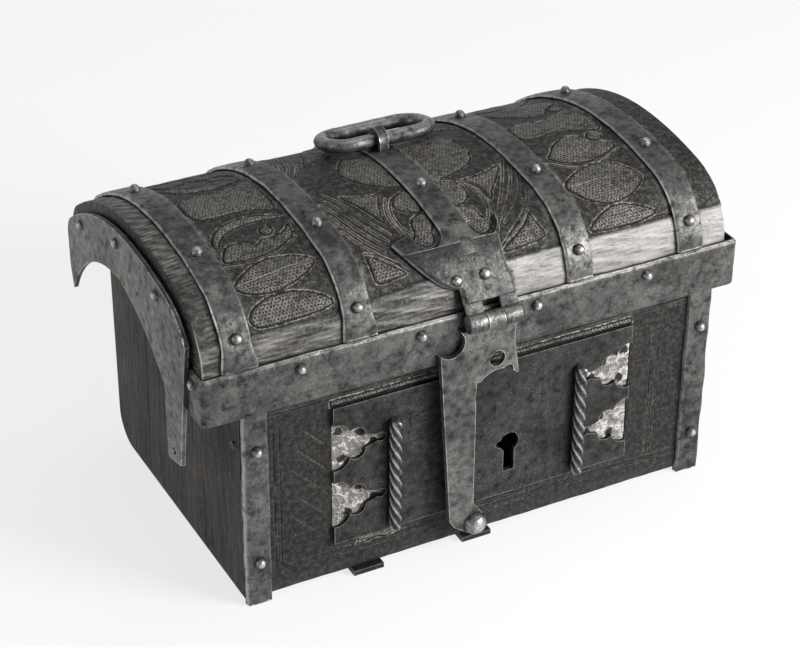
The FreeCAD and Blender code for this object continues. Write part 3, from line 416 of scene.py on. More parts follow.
def old_board(name, along, dark, pale):
    """Wood whose grain runs along one axis (0, 1 or 2)."""
    finish, tree, shader, place = new_finish(name)
    pull, far = (tuple(short if k == along else 1.0 for k in range(3)) for short in (0.08, 0.03))
    look = use_effect(tree, board_grain, Place=place, Pull=pull, Far=far, Dark=dark, Pale=pale)
    connect(shader, look["Height"], 0.0005, Base_Color=look["Colour"], Roughness=look["Roughness"],
            Specular_IOR_Level=0.22)
    return finish


upright_wood = old_board("upright_wood", 2, (0.011, 0.0098, 0.0086), (0.036, 0.0318, 0.0275))
lying_wood = old_board("lying_wood", 0, (0.014, 0.0124, 0.0108), (0.045, 0.0395, 0.034))
dress(upright_wood, "left_end_board right_end_board")
dress(lying_wood, "front_board back_board bottom_board lid_shell")
print("boards dressed")

# %% [markdown]
# ## The lid's section as a formula
# Every piece on the lid follows one curve: two wide arcs that meet at the crest, a tighter shoulder on
# each side and an upright foot. It could be read off the CAD mesh, but as a function of the length along
# the curve it serves the leather, the bands and the rivets alike, and lengths measured on the photograph
# can be used directly.

# %% Lid section
crest_y, crest_z, spring_z = -6.0, 129.2, 99.3
front_face, back_face = -62.3, 57.7
shoulder = np.array([26.0, 14.0])
centre_y = np.array([front_face + shoulder[0], back_face - shoulder[1]])
rise = crest_z - spring_z
reach_y = np.array([crest_y - centre_y[0], centre_y[1] - crest_y])
wide = (reach_y ** 2 + rise ** 2 - shoulder ** 2) / (2 * (rise - shoulder))
limit = np.arctan2(reach_y, wide - rise)
front_foot, back_foot = -80.47, 84.0
band_x, band_half, band_thick = np.array([-96.1, -51.8, -7.5, 34.8, 81.1]), 5.5, 1.6


def lid_line(along, proud=0.0):
    """(y, z, normal y, normal z) at lengths from the crest, negative to the front, and proud of the leather.

    The surface turns by length over the wide radius up to the limit, then by length over the shoulder's
    radius up to a right angle; what is left of the length goes straight down."""
    along = np.asarray(along, float)
    k = (along >= 0).astype(int)
    side = 2.0 * k - 1.0
    run = np.abs(along)
    arc, quarter = (wide * limit)[k], (shoulder * (np.pi / 2 - limit))[k]
    turn = np.minimum(run, arc) / wide[k] + np.clip(run - arc, 0, quarter) / shoulder[k]
    down = np.maximum(run - arc - quarter, 0)
    tight = run > arc
    radius = np.where(tight, shoulder[k], wide[k]) + proud
    y = np.where(tight, centre_y[k], crest_y) + side * radius * np.sin(turn)
    z = np.where(tight, spring_z, crest_z - wide[k]) + radius * np.cos(turn) - down
    return y, z, side * np.sin(turn), np.cos(turn)


for foot in (front_foot, back_foot):
    print("lid section ends at", [round(float(v), 2) for v in lid_line(foot)[:2]])

# %% [markdown]
# ## From arrays to a piece
# A mesh could be built face by face, but a surface on a grid needs only its array of points: the faces are
# always the same pattern of numbers. Values for the finish are kept on the points. Smooth unevenness, such as
# hammer marks, is a sum of a few sine waves with a fixed seed, so that every run gives the same casket.

# %% Mesh helpers
def grid_faces(rows, columns, ring=False):
    """Quads of a grid of points; in a ring the last column joins the first."""
    last = columns if ring else columns - 1
    i, j = np.meshgrid(np.arange(rows - 1), np.arange(last), indexing="ij")
    k = (j + 1) % columns
    here, below = i * columns, (i + 1) * columns
    return np.stack([here + j, below + j, below + k, here + k], -1).reshape(-1, 4)


def make_piece(name, points, faces, body, slot, finish, stands_for="", caps=(), inside=None, uv=None, **marks):
    """Mesh object from points in mm and quads, turned so that the volume seen from inside is positive."""
    points = np.asarray(points, float).reshape(-1, 3)
    middle = points.mean(0) if inside is None else np.asarray(inside)
    a, b, c, d = (points[faces[:, k]] - middle for k in range(4))
    volume = sum(np.einsum("ij,ij->i", a, np.cross(p, q)).sum() for p, q in ((b, c), (c, d)))
    turned = faces if volume > 0 else faces[:, ::-1]
    ends = [list(cap) if volume > 0 else list(cap)[::-1] for cap in caps]
    mesh = bpy.data.meshes.new(name)
    mesh.from_pydata((points * mm).tolist(), [], turned.tolist() + ends)
    mesh.polygons.foreach_set("use_smooth", np.arange(len(mesh.polygons)) < len(turned))
    for mark, values in marks.items():
        kept = mesh.attributes.new(mark, "FLOAT", "POINT")
        kept.data.foreach_set("value", np.asarray(values, np.float32).ravel())
    if uv is not None:
        corners = np.empty(len(mesh.loops), int)
        mesh.loops.foreach_get("vertex_index", corners)
        flat = np.asarray(uv, np.float32).reshape(-1, 2)[corners]
        mesh.uv_layers.new(name="flat").uv.foreach_set("vector", flat.ravel())
    mesh.materials.append(finish)
    piece = bpy.data.objects.new(name, mesh)
    bpy.context.collection.objects.link(piece)
    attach(piece, body)
    if stands_for:
        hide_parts(*stands_for.split())
    print(name, len(points), "points", len(mesh.polygons), "faces")


def step(value, low, high):
    """Smooth step from 0 at low to 1 at high."""
    t = np.clip((value - low) / (high - low), 0, 1)
    return t * t * (3 - 2 * t)


def ripple(a, b, seed, waves=7, shortest=4.0, longest=30.0):
    """Smooth unevenness between about -1 and 1: a sum of sine waves in seeded directions and lengths."""
    rng = np.random.default_rng(seed)
    turn, phase = rng.uniform(0, 2 * np.pi, (2, waves))
    length = np.geomspace(shortest, longest, waves)
    parts = [np.sin(2 * np.pi * (a * np.cos(t) + b * np.sin(t)) / size + p)
             for t, p, size in zip(turn, phase, length)]
    return np.sum(parts, 0) / np.sqrt(waves)


def ring_around(count):
    """Even angles once round, without the last, which would fall on the first."""
    return np.linspace(0, 2 * np.pi, count, endpoint=False)


print("3 by 4 points make", len(grid_faces(3, 4)), "faces, and", len(grid_faces(3, 4, True)), "in a ring")

# %% [markdown]
# ## The tooled ornament
# Thin leather was wetted, pressed over the lid and cut with traditional leaves, stems and lobes, whose
# insides were punched all over with dots. The outlines are a few points each, measured along the
# flattened lid and rounded by a spline. They could be carved into a very fine mesh. Instead, for each point
# of the leather the distance to the nearest outline is worked out and kept on the mesh: distances stay
# smooth between points, so the lines in the finish are much sharper than the mesh is fine.

# %% Leaves and stems
leaves = {
    "left_boat": (
        "-89.3,-54.9 -87,-51.3 -82.3,-49 -75.7,-48.1 -69,-49 -63,-51.7 -59,-55.4 -64,-57.2 "
        "-75,-58 -86,-57.9"),
    "left_lens": (
        "-90.3,-42 -87,-38.7 -81,-34.7 -74.3,-32.8 -67.7,-33.7 -62,-36 -60,-38.5 -62.3,-41.7 "
        "-69,-45 -76.3,-47 -83,-46.7 -88.3,-44.7"),
    "left_scallop": (
        "-88.7,-30.2 -87.7,-26.7 -85,-23 -81.7,-22 -78.7,-23.3 -76.2,-26 -73.3,-24 -71,-22.7 "
        "-67.7,-23 -63,-21.3 -60,-18.6 -61,-24 -65,-27.3 -71,-30 -77.7,-31.2 -84.3,-31"),
    "left_arch": (
        "-89,-21.3 -87,-16 -83,-12 -77.7,-9.7 -71.7,-9 -65.7,-10 -60.3,-12.4 -59.7,-14.3 "
        "-64.3,-13.3 -69.7,-12.7 -76.3,-13.7 -82.3,-16 -85.7,-19.3 -87.7,-22.7"),
    "left_ball": "-70.9,-19 -69.4,-17 -67,-17 -66,-19 -67.4,-21 -69.7,-21",
    "left_crown": "-88,-3 -82,-5.2 -74,-4.6 -66,-6 -60,-7.6 -59.4,6 -64,13 -74,15 -84,11 -89,4",
    "inner_left_top": "-32.5,18 -30,6 -26.5,-3 -21,-9.3 -14.3,-12.7 -13,-12.6 -13,16 -20,21",
    "inner_left_upper": "-21.7,-22.7 -19.7,-18.7 -16.3,-16.3 -13,-16.3 -13,-27.6 -15.7,-28.3 -19,-27 -21,-25",
    "inner_left_lower": (
        "-19,-31.5 -16,-29.8 -13.2,-30 -13,-36 -15,-39.6 -16.6,-44.2 -20.5,-44.6 -23.7,-41.6 "
        "-21.4,-39 -20.6,-35"),
    "left_triangle": "-36.3,-10.4 -30,-13 -23.6,-14.4 -25.6,-19 -27.6,-25 -28.7,-30 -31,-24 -33.5,-17",
    "left_low_triangle": "-41.8,-42.7 -37.7,-45.8 -33,-49.8 -30.3,-52.4 -36,-53.2 -41.7,-53.3 -42.2,-48",
    "inner_right_top": "-2,18 -2,-14 3,-13.6 7.7,-12.4 13,-10.2 17.7,-6.6 20,0 19,12 10,21",
    "inner_right_upper": "-2,-15.2 1,-15.4 4,-16.4 6.7,-20 6.2,-25.6 3.4,-29 -2,-29.6 -2.3,-22",
    "inner_right_lower": "-2.6,-31 1.7,-31 4.7,-33.3 5.2,-38 6.6,-42 4.3,-44.8 0.6,-44.4 -1.4,-40.4 -3.3,-38",
    "right_triangle": "9.7,-17.4 14,-17 20,-15.6 25.5,-13.8 20.4,-21 15.4,-27 12.8,-31 12.6,-25 11,-20.6",
    "right_low_triangle": "7.2,-53.3 13,-49.4 19,-45.2 22.2,-41.9 23.4,-46.6 24.4,-51.6 16,-53.2",
    "right_bowl": (
        "44.3,-17.6 47,-14 50.5,-10 56.3,-6.6 62,-7.4 64.4,-11 66.4,-13 72.3,-17 67.7,-20.9 "
        "61,-23.3 54.3,-23.7 48.3,-21.4"),
    "right_ball": "64.9,-10 66.4,-7.4 69.4,-7.4 70.7,-10 69.2,-12.6 66.4,-12.4",
    "right_lens": (
        "41.7,-33.8 47.5,-29 54.3,-26.3 61,-25.8 67,-29.4 71,-35.4 71.3,-38 67.5,-42 61,-45.2 "
        "54.3,-46 48,-43.6 43.7,-39.6"),
    "right_boat": "42.4,-53.8 47.7,-49.6 55,-47 62.6,-48.8 69.7,-53 64,-54.9 55,-55.3 47,-55",
    "right_crown": "42.4,-1 48,-2.8 56,-1.6 64,-3.4 73,-6 74,7 66,13.6 56,15 47,12 42,6",
}
stems = [
    "-43.6,-3 -39,-11 -36,-20 -33,-29 -29.6,-36", "-44.4,-6.6 -41,-14 -38.6,-22 -35.6,-31 -31.6,-38.6",
    "-44.6,-12 -42.6,-18 -40.4,-26 -37.4,-34 -33,-41", "-44.4,-20 -42.4,-28 -39.6,-35.6 -35,-43",
    "-44.6,-29 -42,-36 -37.4,-43.6 -31.4,-49", "-20,-18 -23,-23 -24.4,-29 -23.6,-35.6 -20.4,-40.4",
    "-22,-17.4 -25,-23 -26.2,-29 -25.4,-36 -25,-41.6 -21,-45.8", "-42,-41.4 -36,-45 -29.4,-52",
    "28.4,-11 23.6,-20 19,-27.6 13.4,-36", "29,-15.6 24.6,-24 20,-31 13,-39.6",
    "29,-21.6 25,-29.6 20,-36 12,-43",
    "29,-28.6 25,-35.6 19.6,-41.6 10.6,-48.6", "6.9,-17.6 9.6,-23 10.4,-29 9.4,-35 6.8,-40",
    "8.9,-17 11.4,-23 12.2,-29.6 10.6,-37 8.6,-43 5,-46.4", "22.6,-40.4 16,-45.4 7,-51.6",
    "44,-35.6 54,-35 63,-36 71,-37.2", "-90,-42.6 -80,-41 -70,-39.6 -60.4,-38.6",
    "-89.6,-32.6 -80,-33.4 -70,-31.6 -60.4,-25.6", "42.6,-20 50,-25 60,-26 72,-20.4",
]


def spline(text, closed, steps=7):
    """Smooth line through the written points: each span is a cubic whose slopes follow the neighbours."""
    p = np.array([pair.split(",") for pair in text.split()], float)
    q = np.concatenate([p[-1:], p, p[:2]]) if closed else np.concatenate([p[:1], p, p[-1:]])
    a, b, c, d = (q[k:len(q) - 3 + k, None] for k in range(4))
    t = np.linspace(0, 1, steps, endpoint=False)[None, :, None]
    line = b + 0.5 * t * (c - a + t * (2 * a - 5 * b + 4 * c - d + t * (3 * (b - c) + d - a)))
    return np.concatenate([line.reshape(-1, 2), p[:1] if closed else p[-1:]])


# Distances are kept up to this one, in millimetres.
far_away = 3.0


def distance_to(line, x, s):
    """Distance from points to a line of short straight runs, up to far_away: the nearest point of each run is
    found by projecting on it and clipping to its ends. Also whether each point is inside, by crossings."""
    far, within = np.full(x.shape, far_away), np.zeros(x.shape, bool)
    (x_low, s_low), (x_high, s_high) = line.min(0) - far_away, line.max(0) + far_away
    near = (x > x_low) & (x < x_high) & (s > s_low) & (s < s_high)
    p = np.stack([x[near], s[near]], -1)[:, None]
    a, b = line[None, :-1], line[None, 1:]
    run = b - a
    t = np.clip(((p - a) * run).sum(-1) / np.maximum((run ** 2).sum(-1), 1e-9), 0, 1)
    gap = np.sqrt(((p - a - t[..., None] * run) ** 2).sum(-1)).min(1)
    far[near] = np.minimum(gap, far_away)
    level = (a[..., 1] > p[..., 1]) != (b[..., 1] > p[..., 1])
    slope = run[..., 0] / np.where(run[..., 1] == 0, 1e-9, run[..., 1])
    cross = a[..., 0] + (p[..., 1] - a[..., 1]) * slope
    within[near] = (level & (p[..., 0] < cross)).sum(1) % 2 == 1
    return far, within


def tooling(x, s):
    """(leaf, stem): distance to the nearest leaf outline, negative inside it, and to the nearest stem."""
    leaf, stem = np.full(x.shape, far_away), np.full(x.shape, far_away)
    for text in leaves.values():
        far, within = distance_to(spline(text, True), x, s)
        leaf = np.minimum(leaf, np.where(within, -far, far))
    for text in stems:
        stem = np.minimum(stem, distance_to(spline(text, False), x, s)[0])
    return leaf, stem


print(len(leaves), "leaves and", len(stems), "stems")

# %% [markdown]
# ## Old leather
# The leather is nearly black and mottled, with pale leaves full of dots, dark cut lines with a worn lip beside
# them, and places that hands rubbed bare in fine streaks, painted paler and glossier also as the lamp's sheen;
# its corners get painted shade. A drawn picture could hold all that, but it would be soft close up. Here each
# line is a smooth step on a kept distance, shaken by noise, so that no line looks ruled. The lid and the front
# share the effect.

# %% Leather effect
# Millimetres of leather in one unit of its flat map.
sheet_size = 210.0


def hide_effect():
    """Dark mottled ground, punched dots inside the leaves, dark outlines with a pale lip, worn places with a
    painted sheen, painted shade in corners.
    """
    inputs = ("Place:Vector Flat:Vector Leaf Stem Rubbed Hair Ridges Scuffs "
              "Ground:Color Light:Color Bare:Color")
    tree, given, made = new_effect("old_hide", inputs, "Colour:Color Roughness Height")
    flat, rubbed, ground, light = given["Flat"], given["Rubbed"], given["Ground"], given["Light"]
    broad, fine, grit = use_effect(tree, blots, Place=given["Place"], Blots=60.0)
    shake = sums("SUBTRACT", fine, 0.5)
    leaf = sums("MULTIPLY_ADD", shake, 1.5, given["Leaf"])
    stem = sums("MULTIPLY_ADD", shake, 0.4, given["Stem"])
    # The sheet in millimetres, a little uneven, carries the dots and the cracks.
    uneven = join(tree, "ShaderNodeTexNoise", {"Vector": flat, "Scale": 80.0}).outputs["Color"]
    sheet = vectors("MULTIPLY", flat, (sheet_size, sheet_size, 0))[0]
    sheet = vectors("MULTIPLY_ADD", uneven, (1.3, 1.3, 0), sheet)[0]
    far = use_effect(tree, punched, Flat=sheet, Pitch=1.3)["Distance"]
    hairs = clouds(flat, sheet_size * 0.9, 5.0, 0.7, (0.30, 2.8, 1.0))
    cells = join(tree, "ShaderNodeTexVoronoi", {"Vector": sheet, "Scale": 0.42},
                 voronoi_dimensions="2D", feature="DISTANCE_TO_EDGE").outputs["Distance"]
    crack = times(ease(cells, 0.07, 0.01), ease(broad, 0.42, 0.58), ease(rubbed, 0.3, 0.05))
    # The ground, then the leaves with their dots.
    inner = ease(leaf, -0.25, -0.6)
    dot = times(ease(far, 0.42, 0.24), inner)
    worn = ease(sums("MULTIPLY_ADD", fine, 0.8, broad), 0.66, 1.08, 0.12, 1.0)
    mottle = shade(ground, 4.6)
    scuffs = times(ease(grit, 0.50, 0.68), ease(fine, 0.44, 0.6), given["Scuffs"])
    colour = paint(ground, (ease(fine, 0.40, 0.66), mottle), (ease(broad, 0.48, 0.68, 0.0, 0.5), mottle),
                   (scuffs, shade(ground, 14.0)), (times(inner, worn), light),
                   (times(dot, 0.9), shade(ground, 0.6)))
    # The lips beside the cuts, the cuts and cracks, the worn places in streaks with their painted sheen, and
    # painted shade in corners last of all.
    lip = times(ease(leaf, 0.95, 0.6), ease(leaf, 0.2, 0.5), ease(fine, 0.40, 0.6, 0.1, 0.9))
    ridge = times(ease(stem, 0.85, 0.5), ease(stem, 0.2, 0.42), ease(broad, 0.38, 0.6, 0.1, 1.0))
    ridge = times(ridge, given["Ridges"])
    line = most(ease(sums("ABSOLUTE", leaf), 0.30, 0.08), ease(stem, 0.28, 0.06))
    cut = times(most(line, crack), 0.8)
    # Painted sheen: the kept value, wear and the lamp's sheen together, is painted in the Bare colour in
    # streaks.
    streak = ease(sums("MULTIPLY_ADD", rubbed, 0.3, hairs), 0.48, 0.74, 0.24, 1.0)
    shine = times(rubbed, streak)
    # Painted shade in corners and creases, by ambient occlusion.
    dirt_and_shade = times(use_effect(tree, grime_and_shade, Reach=shade_reach)["Mask"], 0.8)
    colour = paint(colour, (most(lip, ridge), shade(light, 1.5)), (cut, shade(ground, 0.4)),
                   (shine, given["Bare"]), (dirt_and_shade, shade(ground, 0.3)))
    height = sums("SUBTRACT", times(grit, 0.4), times(dot, 0.9))
    height = sums("ADD", height, times(rubbed, hairs, given["Hair"]))
    height = sums("MULTIPLY_ADD", fine, 0.9, sums("SUBTRACT", height, cut))
    rough = ease(sums("MULTIPLY_ADD", fine, 0.3, shine), 0.05, 0.9, 0.58, 0.27)
    give(made, Colour=colour, Roughness=rough, Height=height)
    return tree


old_hide = hide_effect()
print("leather effect", len(old_hide.nodes), "nodes")

# %% Leather finishes
def leather_finish(name, ground, light, bare, hair=0.35, ridges=0.95, scuffs=0.9):
    """Old leather in its own tones; its lines are the distances that the mesh keeps."""
    finish, tree, shader, place = new_finish(name)
    flat = join(tree, "ShaderNodeUVMap", uv_map="flat").outputs[0]
    leaf, stem, rubbed = kept_marks(tree, "leaf stem rubbed")
    look = use_effect(tree, old_hide, Place=place, Flat=flat, Leaf=leaf, Stem=stem, Rubbed=rubbed, Hair=hair,
                      Ridges=ridges, Scuffs=scuffs, Ground=ground, Light=light, Bare=bare)
    connect(shader, look["Height"], 0.00034, Base_Color=look["Colour"], Roughness=look["Roughness"],
            Specular_IOR_Level=0.24)
    return finish


tooled_leather = leather_finish("tooled_leather", (0.0078, 0.0072, 0.0065), (0.155, 0.146, 0.136),
                                (0.37, 0.358, 0.339))
plain_leather = leather_finish("plain_leather", (0.0064, 0.0059, 0.0053), (0.20, 0.189, 0.175),
                               (0.09, 0.085, 0.08), hair=0.2, ridges=0.12, scuffs=0.4)
print("leather finishes", tooled_leather.name, plain_leather.name)

# %% [markdown]
# ## Leather over the lid
# One sheet goes over the lid from foot to foot and is turned down over both ends. It is a grid: x across, and
# the length along the lid's section. Its relief is real, because a bump alone would leave the outline of the
# lid bare: leaves stand up, cuts go in, and a crease runs along the shoulder. Below it the leather is painted
# pale, as wear of hands and as a painted sheen of the lamp, strongest on the right.

# %% Leather over the lid
def lid_leather():
    """Grid whose lines are close in the panels and wide under the bands and behind; the lift is a sum of steps
    and bells on the kept distances."""
    left, right, half, mirror = -108.95, 96.55, 5.0, 4.0
    edges = np.concatenate([[left], np.stack([band_x - half, band_x + half], 1).ravel(), [right]])
    spans = [np.linspace(a, b, max(2, int((b - a) / 0.45)) if k % 2 == 0 else 3)
             for k, (a, b) in enumerate(zip(edges[:-1], edges[1:]))]
    across = np.unique(np.concatenate(spans).round(4))
    across = np.concatenate([[left - 0.25, left - 0.22], across, [right + 0.22, right + 0.25]])
    along = np.concatenate([np.linspace(front_foot, -70, 9), np.linspace(-70, 19, 198),
                            np.linspace(19, back_foot, 52)])
    s, x = np.meshgrid(np.unique(along.round(4)), across, indexing="ij")
    leaf, stem = tooling(x, np.where(s > mirror, 2 * mirror - s, s))
    crease = -58.6 + 3.2 * step(x, -60, -20)
    below = step(s, crease - 0.4, crease - 2.4)
    # Worn places, which also carry a painted sheen: the strip below the crease, brighter on the lit right half,
    # beside the bands, and the left end and its edge, where a painted highlight runs near the crest. The edges
    # turned under and the leather below the hasp's plate get none of it.
    lit = step(x, -14, 14)
    streaks = 0.76 + (0.50 - 0.36 * lit) * ripple(x / 3, s * 2.6, 3, shortest=3, longest=10)
    rubbed = below * (0.38 + 0.54 * lit) * streaks * (1 - step(s, -70.5, -72.5))
    beside = np.abs(x[..., None] - band_x).min(-1) - band_half
    strip = step(beside, 2.6, 0.6) * (0.55 + 0.45 * ripple(x, s, 5))
    rubbed = np.clip(np.maximum(rubbed, 0.45 * strip * step(s, -62, -40) * step(s, 70, 50)), 0, 1)
    # Painted highlight on the left end near the crest, in streaks.
    crown = step(s, -42, -24) * step(s, 60, 20)
    strokes = 0.6 + 0.32 * ripple(x / 2, s * 1.6, 13, shortest=2, longest=5)
    left_end = step(x, -101, -102) * (0.12 + 0.34 * crown + 0.26 * step(x, -107.5, -102)) * strokes
    rubbed = np.clip(np.maximum(rubbed, left_end), 0, 1)
    rubbed = np.maximum(rubbed, 0.9 * step(x, left + 0.5, left) * step(s, -46, -60))
    rubbed[:, [0, 1, -2, -1]] = 0.0
    rubbed = rubbed * (1 - step(np.abs(x + 3), 13, 10) * step(s, -58, -62))
    # Relief: leaves, cuts, crease, wrinkles, and the edges turned under.
    lift = 0.34 * step(leaf, 0.3, -1.0) - 0.34 * np.exp(-(leaf / 0.42) ** 2)
    lift -= 0.26 * np.exp(-(stem / 0.36) ** 2)
    lift *= 1 - below
    lift += -0.5 * np.exp(-((s - crease) / 0.7) ** 2)
    lift += 0.10 * below * ripple(x / 7, s, 11, shortest=1.6, longest=5)
    lift += 0.10 * ripple(x, s, 7, shortest=5) - 0.25
    lift[:, [2, -3]], lift[:, [1, -2]], lift[:, [0, -1]] = -0.3, -0.8, -5.0
    lift[[0, -1]] = np.minimum(lift[[0, -1]], -1.2)
    y, z, ny, nz = lid_line(s)
    points = np.stack([x, y + ny * lift, z + nz * lift], -1)
    uv = np.stack([x - left, s - front_foot], -1) / sheet_size
    make_piece("lid_leather_cover", points, grid_faces(*s.shape), "lid", "leather", tooled_leather,
               "lid_leather", inside=(-6, 0, 95), uv=uv, leaf=leaf, stem=stem, rubbed=rubbed)


lid_leather()

# %% [markdown]
# ## Leather on the front
# The front is covered with the same leather, ruled with border lines above, below and at both sides, with
# rows of dots in the band over the lock plate. It is cut out behind the lock and the windows. A cut with a
# knife would need new edges there, but the plate hides them, so the faces are just left off.

# %% Front leather
def front_leather():
    """Flat grid on the front board: ruled lines are distances to fixed heights and widths; the ruled band and
    a worn patch below the plate are leaves."""
    left, face_y = -85.0, -58.5
    z, x = np.meshgrid(np.linspace(2, 89.8, 157), np.linspace(left, -left, 300), indexing="ij")
    uneven = 0.25 * ripple(x, z, 21, shortest=18, longest=70)
    rules = np.abs(z[..., None] + uneven[..., None] - np.array([77.6, 76.2, 12.4, 9.4])).min(-1)
    sides = np.abs(x[..., None] + uneven[..., None] - np.array([-82.6, -80.4, 70.8, 73.4])).min(-1)
    sides = np.where((z > 12) & (z < 70), sides, far_away)
    hatch = np.abs((x + z) / 1.414 % 7.0 - 3.5) + 0.3
    hatch += 40 * step(np.abs(x + 70), 6, 8) + 40 * step(np.abs(z - 45), 22, 25)
    stem = np.minimum(np.minimum(rules, sides), np.minimum(hatch, far_away))
    band = np.maximum(np.abs(z - 74.3) - 1.1, np.abs(x) - 61) + 0.3 * uneven
    patch = np.maximum(np.abs(z - 13.4) - 1.5, np.abs(x + 42.5) - 8.5)
    patch += 0.5 * ripple(x, z, 27, shortest=3, longest=9)
    leaf = np.clip(np.minimum(band, patch), -far_away, far_away)
    rubbed = 0.35 * step(z, 78, 81) * (0.5 + 0.6 * ripple(x, z, 15)) + 0.2 * step(z, 9, 4)
    sink = 0.25 * np.exp(-(stem / 0.35) ** 2) + 0.15 + 0.1 * ripple(x, z, 9, shortest=6)
    points = np.stack([x, face_y + sink, z], -1)
    faces = grid_faces(*z.shape)
    mid_x, _, mid_z = points.reshape(-1, 3)[faces].mean(1).T
    lock = (mid_x > -27) & (mid_x < 38) & (mid_z > 19) & (mid_z < 57)
    panes = (np.abs(mid_x) > 38.4) & (np.abs(mid_x) < 61.2) & (mid_z > 20.8) & (mid_z < 67.6)
    uv = np.stack([x - left, z], -1) / sheet_size
    make_piece("front_leather_cover", points, faces[~(lock | panes)], "box", "leather", plain_leather,
               "front_leather", inside=(0, 0, 45), uv=uv, leaf=leaf, stem=stem, rubbed=np.clip(rubbed, 0, 1))


front_leather()

# %% [markdown]
# ## Rivets
# Each rivet is a forged dome on the iron. A sphere from Blender has a pole where the light catches, so a dome
# is a square grid pressed into a disc, and its height is the root of one minus a power of the radius. All the
# rivets of one kind are one mesh, each placed by a point and a normal.

# %% Rivet heads
def rivet_heads(name, places, stands_for, body, seed, reach=2.2, tall=2.5, count=13):
    """Domes of the given reach and height; each row of places is a point and a normal."""
    places = np.asarray(places, float)
    u, v = np.meshgrid(*[np.linspace(-1, 1, count)] * 2, indexing="ij")
    disc_u, disc_v = u * np.sqrt(1 - v * v / 2), v * np.sqrt(1 - u * u / 2)
    radius = np.hypot(disc_u, disc_v)
    sunk = 0.3
    height = (tall + sunk) * np.sqrt(np.clip(1.0 - radius ** 2.2, 0, 1)) - sunk
    rng = np.random.default_rng(seed)
    normal = places[:, 3:]
    level = np.cross(normal, np.where(np.abs(normal[:, :1]) > 0.9, [[0, 1, 0]], [[1, 0, 0]]))
    level /= np.linalg.norm(level, axis=1, keepdims=True)
    size = reach * rng.uniform(0.94, 1.0, (len(places), 1, 1))
    tilt = rng.uniform(-0.05, 0.05, (2, len(places), 1, 1))
    beaten = height * rng.uniform(0.86, 1.0, (len(places), 1, 1))
    beaten = np.minimum(beaten + tilt[0] * disc_u + tilt[1] * disc_v, tall)
    parts = ((size * disc_u, level), (size * disc_v, np.cross(normal, level)), (beaten, normal))
    points = places[:, None, None, :3] + sum(far[..., None] * way[:, None, None] for far, way in parts)
    first = count ** 2 * np.arange(len(places))[:, None, None]
    faces = (grid_faces(count, count)[None] + first).reshape(-1, 4)
    # Worn pale top; painted shade as a dark ring at the dome's foot.
    rubbed = np.broadcast_to(0.8 * step(radius, 0.75, 0.2), beaten.shape)
    soot = np.broadcast_to(0.95 * step(radius, 0.84, 0.97), beaten.shape)
    make_piece(name, points, faces, body, "iron", rivet_iron, stands_for, inside=places[:, :3].mean(0),
               rubbed=rubbed, soot=soot)


def on_lid(x, depth, proud=band_thick):
    """Row of a rivet on a band, at the point of the section whose depth is nearest to the wanted one."""
    along = np.linspace(-71.4, 75.0, 6000)
    k = int(np.abs(lid_line(along)[0] - depth).argmin())
    y, z, ny, nz = (float(v) for v in lid_line(along[k], proud))
    return [x, y, z, 0.0, ny, nz]


foot_front, foot_back = centre_y + [-1, 1] * shoulder * math.cos(math.radians(27))
band_rivets = [on_lid(band_x[i], depth) for i in (0, 1, 3, 4) for depth in (foot_front, -30.0, 25.0, foot_back)]
band_rivets += [on_lid(band_x[2], depth) for depth in (-22.4, foot_back)]
rim_rivets = [[-6.2 + i * 45.6, -64.1, 96, 0, -1, 0] for i in (-1.5, -0.5, 0.5, 1.5)]
return_rivets = [[-110.75, -57, 96, -1, 0, 0], [101.45, -57, 96, 1, 0, 0]]
gable_rivets = [[x, y, on_lid(0, y, 0)[2] - 9, math.copysign(1, x), 0, 0]
                for y in (-32.3, 3.5, 39.2) for x in (-112.35, 99.25)]
strip_rivets = [[x, -60.5, z, 0, -1, 0] for x in (-90, 90) for z in (18, 65)]
strap_rivets = [[x + 4, 59.3, z, 0, 1, 0] for x in band_x[1:4] for z in (26, 68)]

# The hasp's plate leaves the shoulder in a straight line, which touches the shoulder's circle and passes
# above the barrel's axis; up_y and up_z are the normal of that line.
barrel_y, barrel_z, over_axis = -67.8, 97.7, 2.2
outside = shoulder[0] + band_thick
span_y, span_z = centre_y[0] - barrel_y, barrel_z - spring_z
bridge = math.asin((outside - over_axis) / math.hypot(span_y, span_z)) - math.atan2(span_z, span_y)
up_y, up_z = -math.sin(bridge), math.cos(bridge)
rivet_y = centre_y[0] + up_y * outside - up_z * 3
rivet_z = spring_z + up_z * outside + up_y * 3
plate_rivets = [[-8.3 + side * 5.5, rivet_y, rivet_z, 0, up_y, up_z] for side in (-1, 1)]
rivet_heads("band_rivet_heads", band_rivets, "lid_band_rivets", "lid", 1)
rivet_heads("rim_rivet_heads", rim_rivets, "rim_rivets", "lid", 2)
rivet_heads("rim_return_heads", return_rivets, "", "lid", 6, tall=1.7)
rivet_heads("gable_rivet_heads", gable_rivets, "gable_rivets", "lid", 3, tall=1.7)
rivet_heads("strip_rivet_heads", strip_rivets, "strip_rivets", "box", 4)
rivet_heads("plate_rivet_heads", plate_rivets, "", "lid", 8, tall=1.75)
rivet_heads("strap_rivet_heads", strap_rivets, "hinge_strap_rivets", "box", 5)
rivet_heads("hasp_knob_head", [[-7.4, -66.6, 11.7, 0, -1, 0]], "hasp_knob", "hasp", 7, reach=4.6, tall=4.4)

# %% [markdown]
# ## Bands over the lid
# A band is a flat bar drawn out under the hammer, laid over the leather and nailed on. A box bent by a modifier
# would have even edges. Here a section with a low crown and rounded edges is carried along the lid's own
# curve, and hammer marks are waves in the width and in the thickness. Two bands are narrowed behind the lid and
# rolled round a hinge pin, as a smith makes a knuckle: their path simply goes on from the lid's foot
# into a circle.

